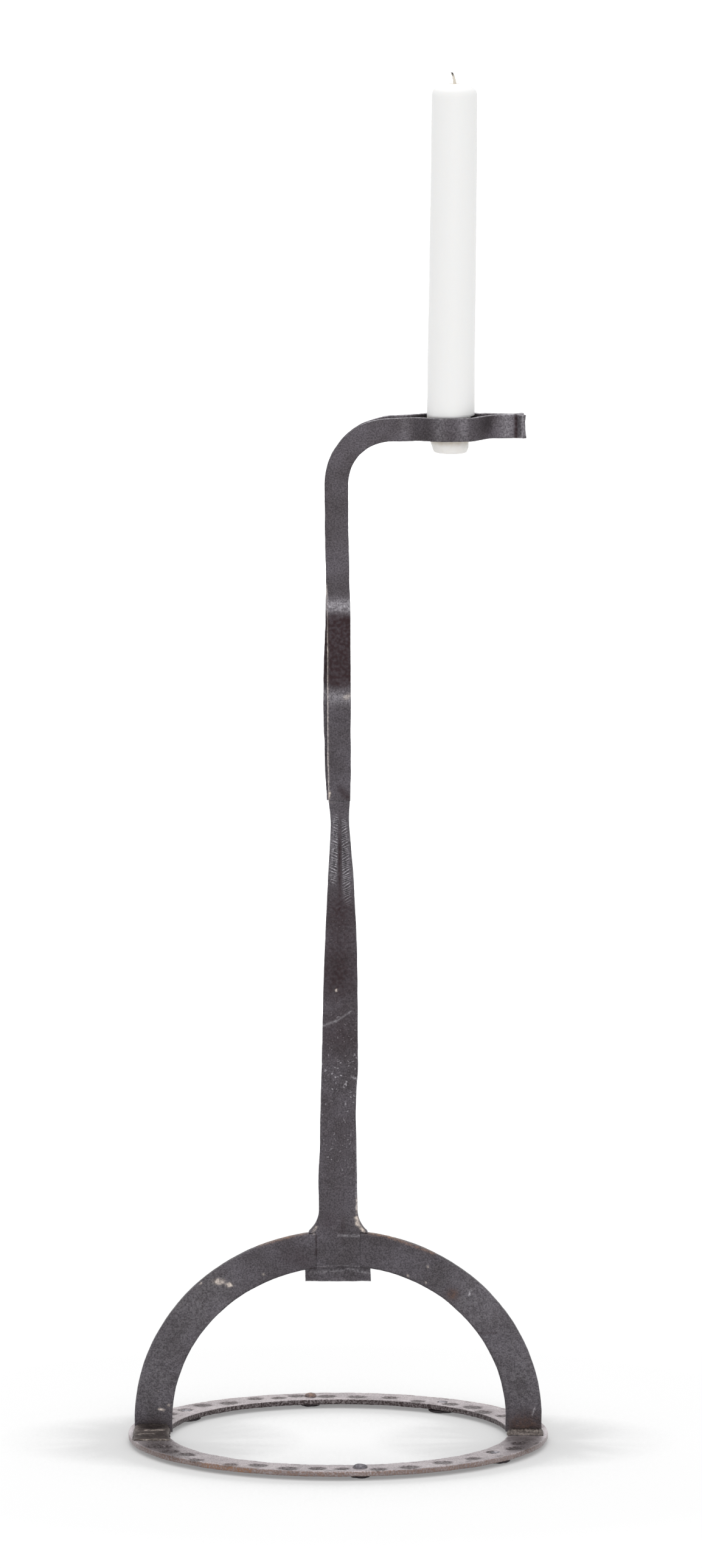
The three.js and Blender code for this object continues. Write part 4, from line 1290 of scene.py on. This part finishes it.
def strip_opening(along, eye):
    """Distance of a strip's inner face from the middle plane."""
    gap, rise, fall = eye
    x = strip_line(along)[0]
    tail = np.maximum(x - TIP_FLARE_X, 0) / (FRONT_TIP_X - TIP_FLARE_X)
    opened = gap * (soft_step(x, *rise) - soft_step(x, *fall))
    return STRIP_GAP / 2 + BOW * bow_shape(along) + opened + TIP_OPENING * tail ** 1.5


print("the arm leaves the bend at x", round(float(strip_line(np.array(ARM_START))[0]), 1), "mm")

# %% [markdown]
# ## From a line to a strip
#
# Each ring of the loft needs three directions: ahead along the strip, across its width, and through
# its thickness. Across is known, as both strips lie in the plane of the bend, and the third follows
# from the other two by a cross product. The very end is dished, as a cross peen leaves it.

# %% Strips as lofts, with a hollow end
STRIP_STEP = 0.6
TIP_HOLLOW = 0.8
TIP_LENGTH = 5.0


def spring_strip(name, side, tip_x, eye, lifts, strays, seed):
    """One strip with its own side, end, eye, lifts and strays."""
    start_x = float(strip_line(np.array(ARM_START))[0])
    end = ARM_START + (tip_x - start_x) / math.cos(ARM_HEADING)
    along = np.linspace(0, end, round(end / STRIP_STEP))
    x, z, heading = strip_line(along)
    y = side * (strip_opening(along, eye) + STRIP_THICK / 2)
    lift = blended(x, [(0, 0), *lifts]) * (along > STRIP_RISE / 2)
    centres = np.stack([x + blended(along, strays, 6), y, z + lift], 1)
    ahead = np.gradient(centres, axis=0)
    ahead /= np.linalg.norm(ahead, axis=1)[:, None]
    across = np.stack([np.sin(heading), 0 * heading, -np.cos(heading)], 1)
    through = np.cross(ahead, across)
    through /= np.linalg.norm(through, axis=1)[:, None]
    rings = []
    for i, distance in enumerate(along):
        half = float(blended(distance, STRIP_HALF_WIDTHS))
        shape = bar_section(half, STRIP_THICK / 2, 0.6, 20, 4)
        ring = placed(shape, centres[i], across[i], through[i])
        to_end = np.clip(1 - (end - distance) / TIP_LENGTH, 0, 1)
        hollow = TIP_HOLLOW * to_end * (1 - (shape[:, :1] / half) ** 2)
        rings.append(ring - hollow * ahead[i])
    piece = loft(name, rings)
    return forge(piece, blackened_iron, facet_size=9, facet_depth=0.2, pit_size=2.0, pit_depth=0.09,
                 edge_wear=0.25, seed=seed)


front_strip = spring_strip("front_strip", **FRONT_STRIP, seed=15.0)
rear_strip = spring_strip("rear_strip", **REAR_STRIP, seed=17.0)

# %% [markdown]
# ## Marks on the strips
#
# Where a strip is creased, a light band is painted across it, a painted highlight. The hollow above
# the bow's peak stayed in the smoke and is nearly black. On the arm every face that looks up is painted
# lighter, a painted highlight from the light above, which the direction of the mesh's normals picks out.

# %% Marks on the strips: painted highlights on creases and top faces, burnt bow, hammered tip
peak_z, end_z = ROOT_Z + BOW_PEAK, ROOT_Z + BOW_END
ALL_Y = 400
ARM_Z = 511.2
HALF_ARM = 6.5


def band(x, reach, strength):
    """A mark right across the arm at one X."""
    return ((x, 0, ARM_Z - HALF_ARM), (x, 0, ARM_Z + HALF_ARM), (reach, ALL_Y, 3), strength)


for strip in (front_strip, rear_strip):
    # Light bands at the two creases are painted highlights; at the root the edge lightening is taken off.
    marks(strip, "rubbed", [
        ((-7, 0, peak_z), (7, 0, peak_z), (3, ALL_Y, 3.4), 0.4),
        ((-7, 0, end_z), (7, 0, end_z), (3, ALL_Y, 3.2), 0.7),
        ((-7, 0, ROOT_Z), (7, 0, ROOT_Z), (6, ALL_Y, 1.6), -1.5),
        band(33, 3, 0.12), band(50, 2.5, 0.2), band(62, 2.5, 0.2), band(83.8, 3.6, 0.3), band(91.3, 2, 0.4),
    ])
    points = points_of(strip)
    # Faces of the arm that look up are painted lighter: a painted highlight from the light above.
    store(strip, "rubbed", 0.9 * np.clip((upwards(strip) - 0.75) / 0.2, 0, 1) * (points[:, 0] > 12))
    marks(strip, "scale", [
        ((0, 0, ROOT_Z), (0, 0, 520), (30, ALL_Y, 30), 0.1),
        ((30, 0, ARM_Z), (92, 0, ARM_Z), (9, ALL_Y, 20), 0.1),
        ((0, 0, peak_z + 9), (0, 0, end_z - 7.5), (12, ALL_Y, 4), 1.1),
        ((1, 0, 330), (5, 0, 326), (1.5, ALL_Y, 2), 0.6),
        band(44, 2.5, 0.06), band(73.5, 4.5, 0.14), band(88.2, 0.9, 1.0),
    ])
    marks(strip, "flaky", [((91.5, 0, ARM_Z - 4), (91.5, 0, ARM_Z + 4), (2.5, ALL_Y, 4), 1.0)])
for mark, strength in (("rubbed", 1.0), ("flux", 0.55)):
    marks(front_strip, mark, [
        ((-4.8, 0, 327), (-5.3, 0, 347), (0.4, ALL_Y, 1), strength),
        ((-5.3, 0, 347), (-5.45, 0, 400), (0.4, ALL_Y, 1), strength),
        ((-5.45, 0, 400), (-5.9, 0, 432), (0.4, ALL_Y, 1), 0.8 * strength),
    ])
marks(front_strip, "flux", [((4, -3, peak_z), (5, -3, peak_z + 1), (1.2, 9, 1), 0.5),
                            ((-5.2, -3, 324.3), (-4.4, -3, 328), (0.6, 3, 0.8), 0.9)])
finish_piece(front_strip, "front_arm", "forged_iron", "front_spring_arm")
finish_piece(rear_strip, "rear_arm", "forged_iron", "rear_spring_arm")

# %% [markdown]
# ## Candle and wick
#
# A plain pillar candle, cast in a slightly tapered mould. Its butt is pared down so that the
# tweezers can close on it, and its top is chamfered up to the wick. It leans a little in the clasp.
# The body is turned from its profile, pared with a formula, and then leant over as a whole.

# %% Candle and wick in their own frame, leant into the clasp
CLASP = np.array([55.8, 0.0, 510.5])
LEAN = math.radians(0.65)
LEDGE = 6.6
LEDGE_SLOPE = 0.0323
WAX_PROFILE = [(0, -12), (7.4, -12), (8.3, -11.6), (8.8, -10.4), (10.3, -6), (11.8, 3), (11.9, 6),
               (11.93, LEDGE), (11.9, 12), (11.4, 165), (11.3, 166.6), (10.85, 168.2), (9.8, 169.4),
               (7.1, 171.3), (2.2, 171.7), (1.0, 171.3), (0, 171.2)]
PARED_R = 9.85


def leant(points):
    """Points from the candle's own frame to the row's, leant about Y and set in the clasp."""
    x, y, z = np.asarray(points, float).T
    turned_x = x * math.cos(LEAN) + z * math.sin(LEAN)
    turned_z = z * math.cos(LEAN) - x * math.sin(LEAN)
    return np.stack([turned_x, y, turned_z], 1) + CLASP


def lean_over(piece):
    """Leans a piece made in the candle's frame."""
    move_points(piece, leant(points_of(piece)))


candle = turned("pillar_candle", WAX_PROFILE, step=1.2)
body = points_of(candle)
around = np.arctan2(body[:, 1], body[:, 0])
dip = 0.05 * (1 + np.sin(3 * around + body[:, 2] / 23)) + 0.04 * (1 + np.sin(5 * around - body[:, 2] / 9))
span = np.hypot(body[:, 0], body[:, 1])
body[:, :2] *= (1 - dip / np.maximum(span, 4))[:, None]
# Below the ledge the butt is pared to the strips, all round but for its left side.
to_left = np.clip(-np.cos(around), 0, 1) ** 3
limit = np.interp(body[:, 2], [-6, 0], [9.2, PARED_R]) + (12 - PARED_R) * to_left
pared = body[:, 2] < LEDGE - 0.1
body[:, :2] *= np.where(pared, np.minimum(1, limit / np.maximum(span, 1)), 1)[:, None]
near_ledge = np.clip((20 - body[:, 2]) / 12, 0, 1) * np.clip((body[:, 2] + 4) / 8, 0, 1)
body[:, 2] += LEDGE_SLOPE * body[:, 0] * near_ledge
move_points(candle, body)
butt = np.clip((LEDGE - body[:, 2]) / 0.6, 0, 1)
gripped = np.exp(-((body[:, 2] + 6.3) / 0.9) ** 2)
store(candle, "stain", butt * 0.16 + gripped * 0.45)
store(candle, "stain", 0.4 * np.exp(-((body[:, 2] - 171.4) / 0.5) ** 2) * (span < 2.5))
candle.data.materials.append(wax)
lean_over(candle)
finish_piece(candle, "candle_body", "candle_wax", "candle")

# %% [markdown]
# ## The wick
#
# Three strands twisted together, made as one loft: its section has three lobes and turns by a full
# turn every few millimetres of height. The free end leans over, thins out and is burnt black.

# %% Twisted wick
WICK_LOW, WICK_BEND_FROM, WICK_TIP = 166.0, 171.0, 177.2
WICK_R = 0.8
WICK_BEND = 1.6
TWIST_PITCH = 5.0
STRANDS = 3
rings = []
for level in np.arange(WICK_LOW, WICK_TIP + 0.01, 0.12):
    above = max(level - WICK_BEND_FROM, 0) / (WICK_TIP - WICK_BEND_FROM)
    turns = np.linspace(0, 2 * math.pi, 36, endpoint=False)
    lobes = np.abs(np.cos(STRANDS / 2 * (turns - 2 * math.pi * level / TWIST_PITCH))) ** 0.7
    reach = WICK_R * (0.74 + 0.26 * lobes) * (1 - 0.35 * above ** 2)
    centre_x = -WICK_BEND * above ** 2
    rings.append(np.stack([centre_x + reach * np.cos(turns), reach * np.sin(turns), 0 * turns + level], 1))
wick = loft("twisted_wick", rings)
strand = points_of(wick)[:, 2]
store(wick, "burnt", np.clip((strand - WICK_TIP + 2.2) / 1.6, 0, 1))
wick.data.materials.append(cotton)
lean_over(wick)
finish_piece(wick, "candle_body", "wick_cotton", "wick")

# %% [markdown]
# ## Floor, light and camera
#
# The holder stands on a white floor under soft light. The floor is made white by its own faint
# glow in what the camera and the reflections see, and the rest of its brightness is lamplight, so
# the shadow of the holder stays on it. Close to the holder the glow is dimmed where an Ambient
# Occlusion node finds the holder near: a painted contact shadow on top of the real one. Two large
# soft lamps, above and in front, give the light a direction, and a pale world fills in from all round.


# %% White floor that keeps its shadow, with a painted contact shadow near the holder
def seen_directly(tree):
    """1 for rays that show the background as it is: camera, glossy and transmission rays."""
    rays = add(tree, "ShaderNodeLightPath").outputs
    some = add(tree, "ShaderNodeMath", {0: rays["Is Camera Ray"], 1: rays["Is Glossy Ray"]},
               operation="MAXIMUM")
    return add(tree, "ShaderNodeMath", {0: some, 1: rays["Is Transmission Ray"]}, operation="MAXIMUM")


FLOOR_HALF = 30000.0
FLOOR_DROP = 0.02
FLOOR_GLOW = 0.45
PAINTED_SHADOW_REACH = 0.07
PAINTED_SHADOW_GLOW = 0.5
OPEN_FROM = 0.965
floor_corners = [(side * FLOOR_HALF, end * FLOOR_HALF, -FLOOR_DROP)
                 for side, end in ((-1, -1), (1, -1), (1, 1), (-1, 1))]
floor = mesh_piece("floor", floor_corners, [(0, 1, 2, 3)])
paper = bpy.data.materials.new("white paper sweep")
paper.use_nodes = True
tree = paper.node_tree
tree.nodes.clear()
spot_on_floor = add(tree, "ShaderNodeNewGeometry").outputs["Position"]
away = add(tree, "ShaderNodeVectorMath", {0: spot_on_floor}, operation="LENGTH").outputs["Value"]
open_glow = add(tree, "ShaderNodeMapRange",
                {"Value": away, "From Min": 0.25, "From Max": 1.5, "To Min": FLOOR_GLOW, "To Max": 1.0})
# Painted contact shadow: the glow drops where the holder lies within reach of the occlusion rays.
open_share = add(tree, "ShaderNodeAmbientOcclusion", {"Distance": PAINTED_SHADOW_REACH}, samples=32).outputs["AO"]
painted_contact_shadow = add(tree, "ShaderNodeMapRange",
              {"Value": open_share, "From Min": OPEN_FROM, "From Max": 1.0, "To Min": PAINTED_SHADOW_GLOW})
strength = add(tree, "ShaderNodeMath", {0: open_glow, 1: painted_contact_shadow}, operation="MULTIPLY")
glow = add(tree, "ShaderNodeEmission", {"Color": (1, 1, 1, 1), "Strength": strength})
shaded = add(tree, "ShaderNodeBsdfDiffuse", {"Color": (0.5, 0.5, 0.5, 1)})
bright_paper = add(tree, "ShaderNodeAddShader", {0: glow, 1: shaded})
dull_paper = add(tree, "ShaderNodeBsdfDiffuse", {"Color": (0.8, 0.8, 0.8, 1)})
shown = add(tree, "ShaderNodeMixShader", {0: seen_directly(tree), 1: dull_paper, 2: bright_paper})
add(tree, "ShaderNodeOutputMaterial", {"Surface": shown})
floor.data.materials.append(paper)
print("paper nodes:", len(tree.nodes))

# %% White world that fills the shadows
WORLD_FILL = 0.77
world = bpy.data.worlds.new("white studio")
bpy.context.scene.world = world
world.use_nodes = True
tree = world.node_tree
tree.nodes.clear()
strength = add(tree, "ShaderNodeMapRange",
               {"Value": seen_directly(tree), "To Min": WORLD_FILL, "To Max": 1.0})
sky = add(tree, "ShaderNodeBackground", {"Color": (1, 1, 1, 1), "Strength": strength})
add(tree, "ShaderNodeOutputWorld", {"Surface": sky})

# %% [markdown]
# ## Lamps and camera
#
# Both lamps are squares two metres wide or more, which is what makes their light soft: the wider
# the lamp, the more blurred a shadow's edge. The camera stands nearly eight metres off with a long
# lens, as for a catalogue picture, so upright lines stay nearly parallel.


# %% Soft lamps and the camera
def soft_lamp(name, place, size, power):
    """A square lamp in metres, turned towards the middle of the holder."""
    lamp = bpy.data.lights.new(name, "AREA")
    lamp.shape = "SQUARE"
    lamp.size = size
    lamp.energy = power
    held = bpy.data.objects.new(name, lamp)
    held.location = place
    aim = (cad_box[0] + cad_box[1]) / 2 - held.location
    held.rotation_euler = aim.to_track_quat("-Z", "Y").to_euler()
    bpy.context.scene.collection.objects.link(held)


soft_lamp("overhead softbox", (-0.2, 0.8, 3.1), 2.4, 34)
soft_lamp("front softbox", (0.3, -3.4, 1.6), 2.0, 23)

CAMERA_BACK = 7.8
CAMERA_HIGH = 1.497
CAMERA_SIDE = 0.00642
CAMERA_PITCH = math.radians(8.493)
camera_data = bpy.data.cameras.new("camera")
camera_data.lens = 364.1
camera_data.sensor_width = 36
camera_data.clip_start = 0.5
camera_data.clip_end = 200
camera = bpy.data.objects.new("camera", camera_data)
camera.location = (CAMERA_SIDE, -CAMERA_BACK, CAMERA_HIGH)
camera.rotation_euler = (math.pi / 2 - CAMERA_PITCH, 0, 0)
bpy.context.scene.collection.objects.link(camera)
bpy.context.scene.camera = camera
bpy.context.scene.view_settings.view_transform = "Standard"
